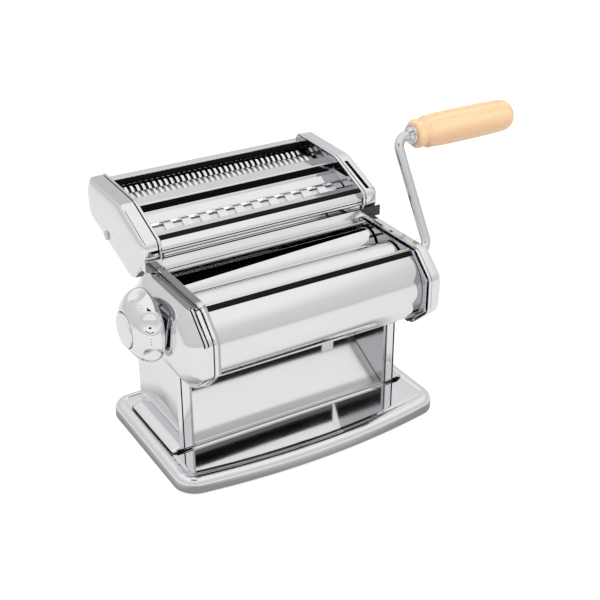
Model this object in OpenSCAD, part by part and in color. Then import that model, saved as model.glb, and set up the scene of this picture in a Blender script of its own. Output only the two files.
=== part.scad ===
// Hand-cranked pasta roller with a two-width cutter head on its back.
// X runs along the rollers towards the crank, Y towards the back, Z up.
// The origin is on the table, under the middle of the base.

/* [Base] */
// Width of the base, left to right
base_w = 202.8; // [190:0.2:230]
// Distance from the middle of the base to its straight rear edge
base_rear = 64.5; // [60:0.5:80]
// Distance from the middle of the base to its front corners
base_front = 54.5; // [50:0.5:70]
// How far the front edge bows out between the corners
base_bow = 10; // [4:0.5:16]
// Corner radius of the base
base_r = 13; // [8:0.5:18]
// Height of the base's top over the table
base_top = 12; // [9:0.5:18]
// Height of the pressed skirt's edge over the table
skirt_lift = 1.2; // [0.6:0.2:3]
// Sheet thickness of the pressed covers and the base
sheet = 1.2; // [0.8:0.1:1.6]
// Radius of a rubber foot
foot_r = 9; // [6:0.5:12]

/* [Main rollers] */
// Length of the smooth rollers
roller_len = 149.6; // [146:0.2:150]
// Radius of the smooth rollers
roller_r = 14; // [12.5:0.1:14.4]
// Opening between the rollers at the widest setting
gap_wide = 2.2; // [1.6:0.1:2.6]
// Opening between the rollers at the narrowest setting
gap_thin = 0.2; // [0.1:0.05:0.4]
// Height of the roller axes
roller_z = 113.5; // [112:0.5:116]
// Y position of the front roller's axis
front_roller_y = -26.5; // [-28:0.5:-26]
// Radius of the roller shafts
shaft_r = 5.2; // [4.8:0.1:5.4]
// Number of teeth on each main gear
gear_teeth = 14; // [12:1:16]
// Face width of the main gears
gear_w = 4.6; // [4:0.1:4.8]

/* [Side frames] */
// Thickness of the steel side plates
plate_t = 2.2; // [1.6:0.1:3]
// Gap between a roller's end and its side plate
end_gap = 1.2; // [0.8:0.1:2]
// Y position of the front edge of a leg
leg_front = -22.5; // [-26:0.5:-20]
// Y position of the rear edge of a leg
leg_rear = 45; // [40:0.5:50]
// Width of a leg cover, from the plate's inner face outwards
leg_depth = 10; // [8:0.5:12]
// Radius of the leg cover's upright edges
leg_r = 3.4; // [2:0.2:5]
// How far a foot flange reaches past the leg's side
flare = 7; // [4:0.5:9]
// Height over which the leg's side flares out
flare_h = 13; // [8:0.5:18]
// Radius of the tie rods
rod_r = 3; // [2:0.1:3.4]

/* [End caps] */
// Y position of the front edge of the end caps
cap_front = -66.7; // [-70:0.5:-65]
// Y position of the rear edge of the end caps
cap_rear = 31.7; // [30:0.1:33]
// Height of the end caps' lower edge
cap_bottom = 74.6; // [70:0.2:78]
// Height of the end caps' top edge
cap_top = 131.3; // [130.5:0.1:132]
// Chamfer of the end caps, along Y
cap_cy = 17.2; // [14:0.2:18]
// Chamfer of the end caps, along Z
cap_cz = 16.1; // [14:0.1:17]
// Depth of a main end cap, from the side plate outwards
cap_d = 19.3; // [18:0.1:24]
// Width of the straight wall of an end cap before its bevel
cap_wall_d = 8.5; // [6:0.5:11]
// Width of the bevel round an end cap's outer face
cap_bevel = 8; // [5:0.5:10]
// Height of the slide rails over the end caps
rail_h = 2.6; // [2.2:0.1:3]

/* [Covers] */
// Sheet thickness of the roller covers
cover_t = 0.8; // [0.6:0.1:1]
// Radius of the bulging front cover
bulge_r = 27.4; // [26:0.1:28]
// Y position of the front cover's centre of curvature
bulge_y = -35.2; // [-36:0.1:-34]
// Height of the front cover's centre of curvature
bulge_z = 103.3; // [102:0.1:105]
// Rise of the chute per unit of depth
chute_slope = 0.54; // [0.45:0.01:0.6]
// Sheet thickness of the chute
chute_t = 0.8; // [0.6:0.1:1]

/* [Thickness adjuster] */
// Y position of the adjuster's axis
knob_y = -15; // [-15.5:0.1:-14]
// Height of the adjuster's axis
knob_z = 109.6; // [108.6:0.1:110]
// Radius of the adjuster's spindle
spindle_r = 4; // [3:0.1:4.4]
// Number of thickness settings
settings = 6; // [5:1:7]
// Turn of the knob between the first and the last setting, in degrees
knob_turn = 300; // [270:10:310]
// Smallest radius of the snail cam
cam_r = 8; // [7.5:0.1:9]
// Outer radius of the knob
knob_r = 24; // [20:0.5:26]
// Depth of the knob
knob_d = 19; // [17:0.5:24]
// Radius of the flat disc in the knob's face
disc_r = 11.8; // [10:0.2:13]
// Travel of the knob when it is pulled out
knob_pull = 5; // [3:0.5:6]

/* [Crank] */
// Distance from the roller axis to the handle axis
crank_len = 81.5; // [70:0.5:100]
// Lean of the crank arm from the upright, in degrees
crank_lean = 32.4; // [0:0.2:60]
// Radius of the crank's round bar
bar_r = 3.5; // [3:0.1:4]
// Distance of the arm from the end cap's outer face
arm_gap = 10.3; // [8:0.1:14]
// How deep the crank's end sits in the roller's socket
socket_depth = 32; // [20:1:36]
// Centre-line radius of the crank's bends
bend_r = 9; // [8:0.5:12]
// Length of the wooden handle
handle_len = 86; // [70:1:100]
// Largest radius of the wooden handle
handle_r = 12; // [10:0.1:14]

/* [Cutter head] */
// Radius over the rings of the cutting rollers
cut_r = 8.5; // [8.3:0.1:8.7]
// Depth that a ring reaches into the facing groove
cut_lap = 0.5; // [0.3:0.1:0.8]
// Depth of a groove between the rings
groove_d = 1.5; // [1.4:0.1:1.8]
// Width of one cut and its neighbour on the fine rollers
fine_pitch = 4.3; // [3.6:0.1:5]
// Width of one cut and its neighbour on the wide rollers
wide_pitch = 13.2; // [10:0.2:16]
// Side gap between a ring and the facing groove
ring_gap = 0.15; // [0.1:0.05:0.25]
// Y position of the fine pair's front axis
fine_y = 76.2; // [75:0.2:77]
// Height of the fine pair's axes
fine_z = 149; // [148:0.2:149.5]
// Y position of the wide pair's front axis
wide_y = 23.6; // [23.2:0.1:24.6]
// Height of the wide pair's axes
wide_z = 139.8; // [139:0.1:140.6]
// Radius of the cutting rollers' shafts
cut_shaft_r = 5; // [4.6:0.1:5.4]
// Depth of a cutter end cap, from its side plate outwards
head_cap_d = 12.4; // [11:0.2:15]
// Thickness of the cutter head's side plates
head_plate_t = 2.4; // [1.6:0.1:2.8]

/* [Hidden] */

$fn = 64;
eps = 0.01;
// Radial clearance of a running fit
run_fit = 0.05;
// Clearance between bodies that pass each other
free = 0.3;
// Extra length of a cutting tool past the face it leaves
past = 1;

// Stations along X, measured outwards from the middle
plate_in = roller_len / 2 + end_gap;
plate_out = plate_in + plate_t;
cap_face = plate_out + cap_d;
cradle_t = 2;
cradle_gap = 0.5;
cradle_in = plate_out + cradle_gap;
cradle_out = cradle_in + cradle_t;
gear_in = cradle_out + 1.2;
nut_t = 3.4;

// Main rollers
rear_roller_y = front_roller_y + 2 * roller_r + gap_wide;
cradle_travel = gap_wide - gap_thin;
nip_y = (front_roller_y + rear_roller_y) / 2;
gear_pitch_r = roller_r + (gap_wide + gap_thin) / 4;
gear_tip = gear_pitch_r + 1.55;
gear_root = gear_pitch_r - 2.8;

// Tie rods between the side plates: front, rear and below the rear roller
rod_spots = [[front_roller_y - roller_r - 9, roller_z - 14],
    [rear_roller_y + roller_r + 5.3, roller_z - 10.5],
    [rear_roller_y + 2, roller_z - roller_r - 11]];

// Crank and its handle
arm_x = cap_face + arm_gap;
handle_y = front_roller_y + crank_len * sin(crank_lean);
handle_z = roller_z + crank_len * cos(crank_lean);
handle_x = arm_x + bend_r + 5.5;
socket_r = bar_r + run_fit;
socket_mouth = cap_face - 1.5;
pin_r = 1.1;
pin_x = socket_mouth - 2.6;

// Cutter head, with the outline of its end caps
cut_gap = 2 * cut_r - cut_lap;
groove_r = cut_r - groove_d;
head_plate_in = plate_in + 0.6;
head_plate_out = head_plate_in + head_plate_t;
head_cap_face = head_plate_out + head_cap_d;
head_bevel = 6;
head_outline = [[cap_rear + 2.8, wide_z - 24.8], [wide_y - 14.1, wide_z - 0.8],
    [wide_y - 13.1, wide_z + 10.2], [wide_y + 23.9, fine_z + 16.4],
    [fine_y + 23.8, fine_z + 18], [fine_y + 28.8, fine_z + 7],
    [fine_y + 27.8, fine_z - 7], [fine_y + 22.8, fine_z - 11]];
fine_axes = [[fine_y, fine_z], [fine_y + cut_gap, fine_z - 0.8]];
wide_axes = [[wide_y, wide_z], [wide_y + cut_gap, wide_z]];
cut_len = roller_len - 0.6;
cut_gear_w = 4;
cut_gear_in = head_plate_out + 1;
cut_gear_teeth = 16;
cut_socket_r = bar_r + run_fit;
cut_socket_len = 18;
head_rod_r = 2.2;
head_rod_spots = [[fine_y - 20.2, fine_z + 4], [wide_y + 30.9, wide_z - 5.8]];

steel = [0.80, 0.81, 0.82];
chrome = [0.86, 0.87, 0.88];
dark = [0.12, 0.12, 0.13];
brass = [0.72, 0.60, 0.35];
beech = [0.86, 0.70, 0.50];

// Draws its 2D children in the YZ plane, from x0 to x1
module slab(x0, x1) {
    translate([x0, 0, 0]) rotate([90, 0, 90]) linear_extrude(height = x1 - x0) children();
}

// A round bar along X about the axis at (y, z)
module bar(y, z, r, x0, x1) {
    translate([x0, y, z]) rotate([0, 90, 0]) cylinder(r = r, h = x1 - x0);
}

// A slot of length travel along -Y, in the YZ plane
module slot2d(y, z, r, travel) {
    translate([y, z]) circle(r);
    translate([y - travel, z]) circle(r);
    translate([y - travel, z - r]) square([travel, 2 * r]);
}

// Mirrors right-hand children to the left side where side is -1
module on_side(side) {
    if (side > 0) children();
    else mirror([1, 0, 0]) children();
}

// Points pulled towards the middle of their own box by d on every side
function low(p, i) = min([for (q = p) q[i]]);
function high(p, i) = max([for (q = p) q[i]]);
function inset(p, d) = let (
        my = (low(p, 0) + high(p, 0)) / 2, mz = (low(p, 1) + high(p, 1)) / 2,
        ky = 1 - 2 * d / (high(p, 0) - low(p, 0)), kz = 1 - 2 * d / (high(p, 1) - low(p, 1)))
    [for (q = p) [my + (q[0] - my) * ky, mz + (q[1] - mz) * kz]];

// Eight-sided outline of the main end caps
function cap_points() = [[cap_front + cap_cy, cap_top], [cap_front, cap_top - cap_cz],
    [cap_front, cap_bottom + cap_cz], [cap_front + cap_cy, cap_bottom],
    [cap_rear - cap_cy, cap_bottom], [cap_rear, cap_bottom + cap_cz],
    [cap_rear, cap_top - cap_cz], [cap_rear - cap_cy, cap_top]];

// Toothed wheel outline with straight-sided teeth; the first tooth points along +Y
function tooth(a, root, tip, half) = [
    [root * cos(a - half), root * sin(a - half)],
    [tip * cos(a - half / 2.4), tip * sin(a - half / 2.4)],
    [tip * cos(a + half / 2.4), tip * sin(a + half / 2.4)],
    [root * cos(a + half), root * sin(a + half)]];
function wheel(n, root, tip, half, first) =
    [for (i = [0:n - 1]) each tooth(first + i * 360 / n, root, tip, half)];

// ---------------------------------------------------------------- base

// Outline of the base, drawn inwards by d
module base_outline(d) {
    half = base_w / 2 - d;
    front = base_front - d;
    // Radius of the bow through the two corners and the middle of the front edge
    bow_r = ((base_w / 2) * (base_w / 2) + base_bow * base_bow) / (2 * base_bow);
    bow_y = bow_r - base_front - base_bow;
    corner = base_r - d;
    cx = half - corner;
    front_cy = bow_y - sqrt(pow(bow_r - base_r, 2) - cx * cx);
    rear_cy = base_rear - base_r;
    difference() {
        intersection() {
            translate([-half, -front - base_bow - past]) {
                square([2 * half, base_rear - d + front + base_bow + past]);
            }
            translate([0, bow_y]) circle(bow_r - d, $fn = 256);
        }
        for (side = [-1, 1]) {
            // Front corner, between the bow's tangent point and the side
            difference() {
                polygon([[side * cx, front_cy],
                    [side * (cx + past + corner), front_cy],
                    [side * (cx + past + corner), front_cy - 3 * corner],
                    [side * cx * (1 + 3 * corner / bow_r),
                        front_cy + (front_cy - bow_y) * 3 * corner / bow_r]]);
                translate([side * cx, front_cy]) circle(corner);
            }
            // Rear corner
            difference() {
                translate([side > 0 ? cx : -cx - corner - past, rear_cy]) {
                    square([corner + past, corner + past]);
                }
                translate([side * cx, rear_cy]) circle(corner);
            }
        }
    }
}

module base_plate() {
    color(chrome) difference() {
        translate([0, 0, skirt_lift]) linear_extrude(height = base_top - skirt_lift) {
            base_outline(0);
        }
        translate([0, 0, skirt_lift - past]) {
            linear_extrude(height = base_top - skirt_lift - sheet + past) base_outline(sheet);
        }
        for (spot = screw_spots()) {
            translate([spot[0], spot[1], 0]) cylinder(r = screw_r, h = base_top + past);
        }
    }
}

foot_in = 5;
function foot_spots() = [for (sx = [-1, 1]) for (y = [-base_front + foot_r + foot_in,
    base_rear - foot_r - foot_in]) [sx * (base_w / 2 - foot_r - foot_in), y]];

module rubber_feet() {
    color(dark) for (spot = foot_spots()) {
        translate([spot[0], spot[1], 0]) cylinder(r = foot_r, h = base_top - sheet);
    }
}

// Screws that hold the side plates' flanges to the base
screw_r = 2;
flange_t = 1.6;
flange_inset = 3.2;
screw_x = plate_out + 3.2;
function screw_spots() = [for (sx = [-1, 1]) for (y = [leg_front + 8, leg_rear - 8])
    [sx * screw_x, y]];

module base_screws() {
    color(steel) for (spot = screw_spots()) {
        translate([spot[0], spot[1], base_top - sheet]) {
            cylinder(r = screw_r, h = sheet + flange_t + 1.4);
            translate([0, 0, -2]) cylinder(r = 2 * screw_r, h = 2);
            translate([0, 0, sheet + flange_t]) cylinder(r = 1.6 * screw_r, h = 1.4, $fn = 6);
        }
    }
}

// ---------------------------------------------------------------- side frames

// Outline of a side plate: the leg and the eight-sided head
plate_inset = 1.6;
// How far below the end cap the leg's rear edge stops
leg_drop = 12;
module plate_outline() {
    polygon(inset(cap_points(), plate_inset));
    polygon([[leg_front + plate_inset, base_top], [leg_rear - plate_inset, base_top],
        [leg_rear - plate_inset, cap_bottom - leg_drop - 1.4],
        [cap_rear - plate_inset - 2, cap_bottom + cap_cz - 3],
        [leg_front + plate_inset, cap_bottom + cap_cz]]);
}

bush_r = shaft_r + 1.3;
bush_rim = 0.8;
module side_plate(side) {
    color(steel) on_side(side) difference() {
        union() {
            slab(plate_in, plate_out) plate_outline();
            translate([plate_in, leg_front + flange_inset, base_top]) {
                cube([leg_depth - sheet - 0.4, leg_rear - leg_front - 2 * flange_inset, flange_t]);
            }
        }
        bar(front_roller_y, roller_z, bush_r, plate_in - past, plate_out + past);
        slab(plate_in - past, plate_out + past) {
            slot2d(rear_roller_y, roller_z, shaft_r + 0.6, cradle_travel);
            slot2d(bar_spot[0], bar_spot[1], bar_spot_r + free, cradle_travel);
        }
        for (spot = rod_spots) bar(spot[0], spot[1], rod_r, plate_in - past, plate_out + past);
        if (side < 0) bar(knob_y, knob_z, spindle_r + run_fit, plate_in - past, plate_out + past);
        for (y = [leg_front + 8, leg_rear - 8]) {
            translate([screw_x, y, base_top - past]) {
                cylinder(r = screw_r, h = flange_t + 2 * past);
            }
        }
        for (spot = cap_screw_spots()) {
            bar(spot[0], spot[1], screw_r, plate_in - past, plate_out + past);
        }
    }
}

// Plan of a leg cover: a channel that is open towards the side plate, drawn inwards by d
module channel_plan(d) {
    out = plate_in + leg_depth - d;
    y0 = leg_front + d;
    y1 = leg_rear - d;
    r = max(leg_r - d, 0.4);
    difference() {
        translate([plate_out - d, y0]) square([out - plate_out + d, y1 - y0]);
        for (end = [0, 1]) {
            cy = end == 0 ? y0 + r : y1 - r;
            difference() {
                translate([out - r, end == 0 ? y0 - past : cy]) square([r + past, r + past]);
                translate([out - r, cy]) circle(r);
            }
        }
    }
}

module leg_cover(side) {
    out = plate_in + leg_depth;
    foot_cy = 7;
    color(chrome) on_side(side) difference() {
        union() {
            difference() {
                translate([0, 0, base_top]) linear_extrude(height = cap_bottom + cap_cz - base_top) {
                    channel_plan(0);
                }
                translate([0, 0, base_top - past]) {
                    linear_extrude(height = cap_bottom + cap_cz - base_top + 2 * past) {
                        channel_plan(sheet);
                    }
                }
            }
            // The side flares out in two steps to the foot flange
            translate([0, leg_rear - leg_r, 0]) rotate([90, 0, 0]) {
                linear_extrude(height = leg_rear - leg_front - 2 * leg_r) {
                    polygon([[out - sheet, base_top], [out + flare, base_top],
                        [out + flare, base_top + sheet], [out + flare * 0.3, base_top + flare_h * 0.35],
                        [out - eps, base_top + flare_h], [out - sheet, base_top + flare_h]]);
                }
            }
            translate([0, 0, base_top]) linear_extrude(height = sheet) {
                polygon([[out - leg_r, leg_front - 1.9], [out, leg_front - 1.9],
                    [out + flare, leg_front + foot_cy - 1.6], [out + flare, leg_rear - leg_r],
                    [out - eps, leg_rear - leg_r], [out - eps, leg_front + sheet],
                    [out - leg_r, leg_front + sheet]]);
            }
        }
        // The channel stops below the end cap and slopes down behind it
        slab(plate_in, out + past) {
            polygon([[cap_front, cap_bottom], [cap_rear - cap_cy, cap_bottom],
                [cap_rear - 2, cap_bottom + cap_cz - 2], [leg_rear, cap_bottom - leg_drop],
                [leg_rear + past, cap_bottom - leg_drop], [leg_rear + past, cap_top],
                [cap_front, cap_top]]);
        }
    }
}

// The cap's screws come from the side plate's inner face into bosses inside the cap
boss_r = 4;
function cap_screw_spots() = [[cap_front + 13, roller_z - 2], [cap_front + 25.7, cap_bottom + 13.4]];

// A pressed cap: a straight wall on the side plate's outline, then a bevel to the outer face
module cap_shape(points, x0, x1, wall, bevel, d) {
    hull() {
        slab(x0, x0 + wall) polygon(inset(points, d));
        slab(x1 - 0.1, x1) polygon(inset(points, d + bevel));
    }
}

module end_cap(side) {
    color(chrome) on_side(side) difference() {
        union() {
            difference() {
                cap_shape(cap_points(), plate_out, cap_face, cap_wall_d, cap_bevel, 0);
                cap_shape(cap_points(), plate_out - past, cap_face - sheet, cap_wall_d + past,
                    cap_bevel, sheet);
            }
            for (spot = cap_screw_spots()) {
                bar(spot[0], spot[1], boss_r, plate_out, cap_face - sheet + eps);
            }
        }
        if (side > 0) bar(front_roller_y, roller_z, shaft_r + 2.5, cap_face - 5, cap_face + past);
        else bar(knob_y, knob_z, spindle_r + 1, cap_face - 5, cap_face + past);
        for (spot = cap_screw_spots()) {
            bar(spot[0], spot[1], screw_r, plate_out - past, cap_face - 2 * sheet);
        }
    }
}

module cap_screws() {
    color(steel) for (side = [-1, 1]) on_side(side) for (spot = cap_screw_spots()) {
        bar(spot[0], spot[1], screw_r, plate_in, plate_out + 9);
        bar(spot[0], spot[1], screw_r + 1.4, plate_in - 0.9, plate_in);
    }
}

// A slide rail with a head that overhangs its web
rail_web = 2.4;
rail_head = 4.4;
rail_head_t = 1.2;
rail_x = plate_out + rail_head / 2;
module rail(side) {
    y0 = cap_front + cap_cy;
    len = cap_rear - cap_cy - y0;
    color(chrome) on_side(side) {
        translate([rail_x - rail_web / 2, y0, cap_top]) cube([rail_web, len, rail_h]);
        translate([rail_x - rail_head / 2, y0, cap_top + rail_h - rail_head_t]) {
            cube([rail_head, len, rail_head_t]);
        }
    }
}

// ---------------------------------------------------------------- covers and plates

cover_x = plate_in - free;

// Front cover: an arc of sheet with a folded lip along its top edge
lip_y = bulge_y - 11.3;
module front_cover() {
    lip_z = bulge_z + sqrt(bulge_r * bulge_r - pow(lip_y - bulge_y, 2));
    color(chrome) slab(-cover_x, cover_x) {
        difference() {
            translate([bulge_y, bulge_z]) circle(bulge_r, $fn = 128);
            translate([bulge_y, bulge_z]) circle(bulge_r - cover_t, $fn = 128);
            polygon([[bulge_y, bulge_z], [lip_y, lip_z], [lip_y, lip_z + 2 * bulge_r],
                [bulge_y + 2 * bulge_r, bulge_z + 2 * bulge_r],
                [bulge_y + 2 * bulge_r, bulge_z - 2 * bulge_r],
                [bulge_y - 4 * cover_t, bulge_z - 2 * bulge_r]]);
        }
        translate([lip_y - 0.1, lip_z - cover_t]) square([2.2, cap_top - lip_z + cover_t - 0.3]);
    }
}

// Rear cover: a rolled front edge over the rear roller, then down the back
bead_r = 1.1;
module rear_cover() {
    y0 = rear_roller_y;
    z1 = cap_top - 0.6;
    y2 = cap_rear - cap_cy - 0.4;
    y3 = cap_rear - 1.4;
    z3 = cap_top - cap_cz - 1.2;
    t = cover_t;
    color(chrome) {
        slab(-cover_x, cover_x) {
            polygon([[y0 + 1, z1], [y2, z1], [y3, z3], [y3, cap_bottom + cap_cz],
                [y3 - t, cap_bottom + cap_cz], [y3 - t, z3 - t * 0.4], [y2 - t * 0.4, z1 - t],
                [y0 + 1, z1 - t]]);
        }
        bar(y0 + 0.4, z1 - bead_r + 0.2, bead_r, -cover_x, cover_x);
    }
}

// A scraper: an upright plate whose bevelled top edge lies along the roller's skin
scraper_t = 1.2;
scraper_edge = roller_r + free;
module scraper(axis_y, dir, foot_z) {
    tip = [axis_y + dir * scraper_edge * cos(45), roller_z - scraper_edge * sin(45)];
    color(steel) slab(-cover_x, cover_x) {
        polygon([tip, [tip[0], foot_z], [tip[0] - dir * scraper_t, foot_z],
            [tip[0] - dir * scraper_t, tip[1] - scraper_t]]);
    }
}

// The front plate reaches down behind the front cover and has a lug on its lower edge
lug_x = 14;
lug_w = 9;
lug_h = 5.5;
module front_scraper() {
    foot_z = bulge_z - bulge_r - 5.4;
    y = front_roller_y - scraper_edge * cos(45);
    scraper(front_roller_y, -1, foot_z);
    color(steel) slab(lug_x, lug_x + lug_w) {
        translate([y, foot_z - lug_h]) square([scraper_t, lug_h + scraper_t]);
    }
}

// The rear plate stays clear of the bar between the cradle plates
module rear_scraper() {
    scraper(rear_roller_y, 1, bar_spot[1] + bar_spot_r + 2);
}

// Chute: a sloping plate with a bent foot strip on the base
chute_front = leg_front + 4;
module chute() {
    z0 = base_top;
    run = leg_rear - plate_inset - 1 - chute_front;
    color(chrome) slab(-cover_x, cover_x) {
        polygon([[chute_front, z0], [chute_front + run, z0 + run * chute_slope],
            [chute_front + run, z0 + run * chute_slope + chute_t],
            [chute_front, z0 + chute_t], [chute_front - 3, z0 + chute_t], [chute_front - 3, z0]]);
    }
}

module tie_rods() {
    color(steel) for (spot = rod_spots) {
        bar(spot[0], spot[1], rod_r, -cradle_out - 3, cradle_out + 3);
        bar(spot[0], spot[1], rod_r + 1.2, -plate_in, plate_in);
    }
}

// The front rod's nuts sit on the side plates, the others keep the cradle plates in place
module frame_nuts() {
    color(steel) for (side = [-1, 1]) on_side(side) for (i = [0:len(rod_spots) - 1]) {
        x0 = i == 0 ? plate_out : cradle_out + free;
        difference() {
            translate([x0, rod_spots[i][0], rod_spots[i][1]]) rotate([0, 90, 0]) {
                cylinder(r = rod_r + 2.6, h = nut_t, $fn = 6);
            }
            bar(rod_spots[i][0], rod_spots[i][1], rod_r, x0 - past, x0 + nut_t + past);
        }
    }
}

module roller_bushes() {
    color(brass) for (side = [-1, 1]) on_side(side) difference() {
        union() {
            bar(front_roller_y, roller_z, bush_r, plate_in, plate_out);
            bar(front_roller_y, roller_z, bush_r + bush_rim, plate_out, plate_out + 1.4);
        }
        bar(front_roller_y, roller_z, shaft_r + run_fit, plate_in - past, plate_out + 2 * past);
    }
}

// ---------------------------------------------------------------- front roller

module front_roller() {
    color(chrome) difference() {
        union() {
            bar(front_roller_y, roller_z, roller_r, -roller_len / 2, roller_len / 2);
            bar(front_roller_y, roller_z, shaft_r, -plate_out - 2, socket_mouth);
        }
        bar(front_roller_y, roller_z, socket_r, socket_mouth - socket_depth - 1, socket_mouth + past);
        // Slot across the mouth for the crank's cross pin
        translate([pin_x - pin_r - free, front_roller_y - shaft_r - past, roller_z - pin_r - run_fit]) {
            cube([socket_mouth - pin_x + pin_r + past + free, 2 * (shaft_r + past),
                2 * (pin_r + run_fit)]);
        }
    }
}

module main_gear(y, first) {
    color(steel) difference() {
        translate([0, y, roller_z]) slab(gear_in, gear_in + gear_w) {
            polygon(wheel(gear_teeth, gear_root, gear_tip, 7.5 * 14 / gear_teeth, first));
        }
        bar(y, roller_z, shaft_r, gear_in - past, gear_in + gear_w + past);
    }
}

module front_gear() { main_gear(front_roller_y, 0); }

// ---------------------------------------------------------------- rear roller and its cradle

// Top of the arm that reaches from the cradle to the cam, below the bush's flange
arm_top = min(knob_z - spindle_r, roller_z - bush_r - bush_rim) - 1;

// How far the cradle plates' corners stay below the end caps' chamfers
corner_gap = 3.6;

// The plates slide on the two rear tie rods and carry the rear roller
module cradle_outline(side) {
    y0 = rear_roller_y - shaft_r - 4.5;
    y1 = cap_rear - sheet - free - 0.4;
    z0 = rod_spots[2][1] - rod_r - 3;
    z1 = roller_z + shaft_r + 3.5;
    difference() {
        union() {
            translate([y0, z0]) square([y1 - y0, z1 - z0]);
            // On the adjuster's side an arm reaches round the spindle to the cam
            if (side < 0) {
                translate([knob_y - cam_r - 5.5, z0 + 2]) {
                    square([y0 - knob_y + cam_r + 5.5 + eps, arm_top - z0 - 2]);
                }
            }
        }
        slot2d(rod_spots[1][0] + cradle_travel, rod_spots[1][1], rod_r + run_fit, cradle_travel);
        slot2d(rod_spots[2][0] + cradle_travel, rod_spots[2][1], rod_r + run_fit, cradle_travel);
        translate([rear_roller_y, roller_z]) circle(shaft_r + run_fit);
        // Rear corners, cut to clear the end cap's chamfers
        polygon([[cap_rear, z0 - past], [cap_rear, cap_bottom + cap_cz + corner_gap],
            [cap_rear - cap_cy, cap_bottom + corner_gap], [cap_rear - cap_cy, z0 - past]]);
        polygon([[cap_rear, z1 + past], [cap_rear, cap_top - cap_cz - corner_gap],
            [cap_rear - cap_cy, cap_top - corner_gap], [cap_rear - cap_cy, z1 + past]]);
    }
}

module left_cradle_plate() {
    post_w = 3;
    post_y = knob_y - cam_r - free - post_w;
    post_z = rod_spots[2][1] - rod_r - 1;
    color(steel) on_side(-1) {
        slab(cradle_in, cradle_out) cradle_outline(-1);
        // Follower post that bears on the cam's front side, bent out past the roller's shaft
        translate([cradle_in, post_y, post_z]) {
            cube([cam_out - cradle_in, post_w, arm_top - post_z]);
        }
        translate([cam_in - 0.4, post_y, post_z]) {
            cube([cam_out - cam_in + 0.4, post_w, knob_z + 2 - post_z]);
        }
    }
}

module right_cradle_plate() {
    color(steel) slab(cradle_in, cradle_out) cradle_outline(1);
}

// Cross bar that keeps the two cradle plates square
bar_spot = [rod_spots[2][0] + 10.5, rod_spots[2][1] + 1];
bar_spot_r = 2;
module cradle_bar() {
    color(steel) bar(bar_spot[0], bar_spot[1], bar_spot_r, -cradle_in, cradle_in);
}

module rear_roller() {
    color(chrome) {
        bar(rear_roller_y, roller_z, roller_r, -roller_len / 2, roller_len / 2);
        bar(rear_roller_y, roller_z, shaft_r, -cradle_out - 3, gear_in + gear_w + 1);
    }
}

module rear_gear() { main_gear(rear_roller_y, 180 + 180 / gear_teeth); }

// ---------------------------------------------------------------- thickness adjuster

cam_in = cradle_out + 1;
cam_out = cam_in + 5;

module index_plate() {
    color(steel) on_side(-1) difference() {
        bar(knob_y, knob_z, knob_r - 5, cap_face, cap_face + index_t);
        bar(knob_y, knob_z, spindle_r + 1, cap_face - past, cap_face + index_t + past);
        for (i = [0:settings - 1]) {
            a = -90 + i * knob_turn / (settings - 1);
            bar(knob_y + index_r * cos(a), knob_z + index_r * sin(a), index_hole_r,
                cap_face - past, cap_face + index_t + past);
        }
    }
}

index_t = 1;
index_r = 14;
index_hole_r = 1.8;
knob_x = cap_face + index_t + free;
cavity_r = disc_r - 2.2;
flange_x = knob_x + knob_d - 3.6;
// The spring behind the web closes up by more than the pull
web_x = min(knob_x + 4, flange_x - knob_pull - 4);
// The knob's dome ends in a rim round the disc
rim_w = 1.2;
disc_t = 1.4;
dome_back = 6;
dome_r = sqrt(pow(disc_r + rim_w, 2) + pow(knob_d + dome_back, 2));

module spindle() {
    color(steel) on_side(-1) {
        bar(knob_y, knob_z, spindle_r, plate_in - 0.4, flange_x + 1.6);
        bar(knob_y, knob_z, cavity_r - free, flange_x, flange_x + 1.6);
    }
}

// The cam's radius grows with the turn, so it pushes the cradle towards the front roller
module snail_cam() {
    steps = 60;
    rise = cradle_travel / knob_turn;
    color(steel) difference() {
        on_side(-1) translate([0, knob_y, knob_z]) slab(cam_in, cam_out) {
            polygon([for (i = [0:steps]) let (a = i * knob_turn / steps, r = cam_r + rise * a)
                [r * cos(180 + cam_sign * a), r * sin(180 + cam_sign * a)]]);
        }
        on_side(-1) bar(knob_y, knob_z, spindle_r, cam_in - past, cam_out + past);
    }
}

// The rising flank follows the way the knob is turned
cam_sign = 1;

// The knob is turned about its own axis: a straight skirt, then a dome down to the disc's rim.
// Six round scoops make room for the fingers.
module knob() {
    lobes = 6;
    scoop_r = 8;
    scoop_out = 3;
    scoop_z = 11;
    skirt = sqrt(dome_r * dome_r - knob_r * knob_r) - dome_back;
    color(chrome) translate([-knob_x, knob_y, knob_z]) rotate([0, -90, 0]) difference() {
        rotate_extrude() difference() {
            union() {
                square([knob_r, skirt]);
                intersection() {
                    translate([0, -dome_back]) circle(dome_r, $fn = 128);
                    translate([0, skirt - eps]) square([knob_r, knob_d - skirt + eps]);
                }
            }
            translate([-past, -past]) square([spindle_r + run_fit + past, knob_d + 2 * past]);
            translate([-past, web_x - knob_x]) square([cavity_r + past, knob_d]);
            translate([-past, knob_d - disc_t]) square([disc_r + past, knob_d]);
        }
        for (i = [0:lobes - 1]) rotate([0, 0, 30 + i * 360 / lobes]) {
            translate([knob_r + scoop_out, 0, scoop_z]) sphere(scoop_r);
        }
        translate([-index_r, 0, -past]) cylinder(r = index_hole_r - 0.3, h = web_x - knob_x + past);
    }
}

module knob_disc() {
    color(chrome) on_side(-1) {
        bar(knob_y, knob_z, disc_r, knob_x + knob_d - disc_t, knob_x + knob_d + 0.4);
    }
}

// Coil spring between the knob's web and the spindle's flange, as a sleeve
module knob_spring() {
    color(steel) on_side(-1) difference() {
        bar(knob_y, knob_z, spindle_r + 2.2, web_x, flange_x);
        bar(knob_y, knob_z, spindle_r + 0.8, web_x - past, flange_x + past);
    }
}

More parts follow.
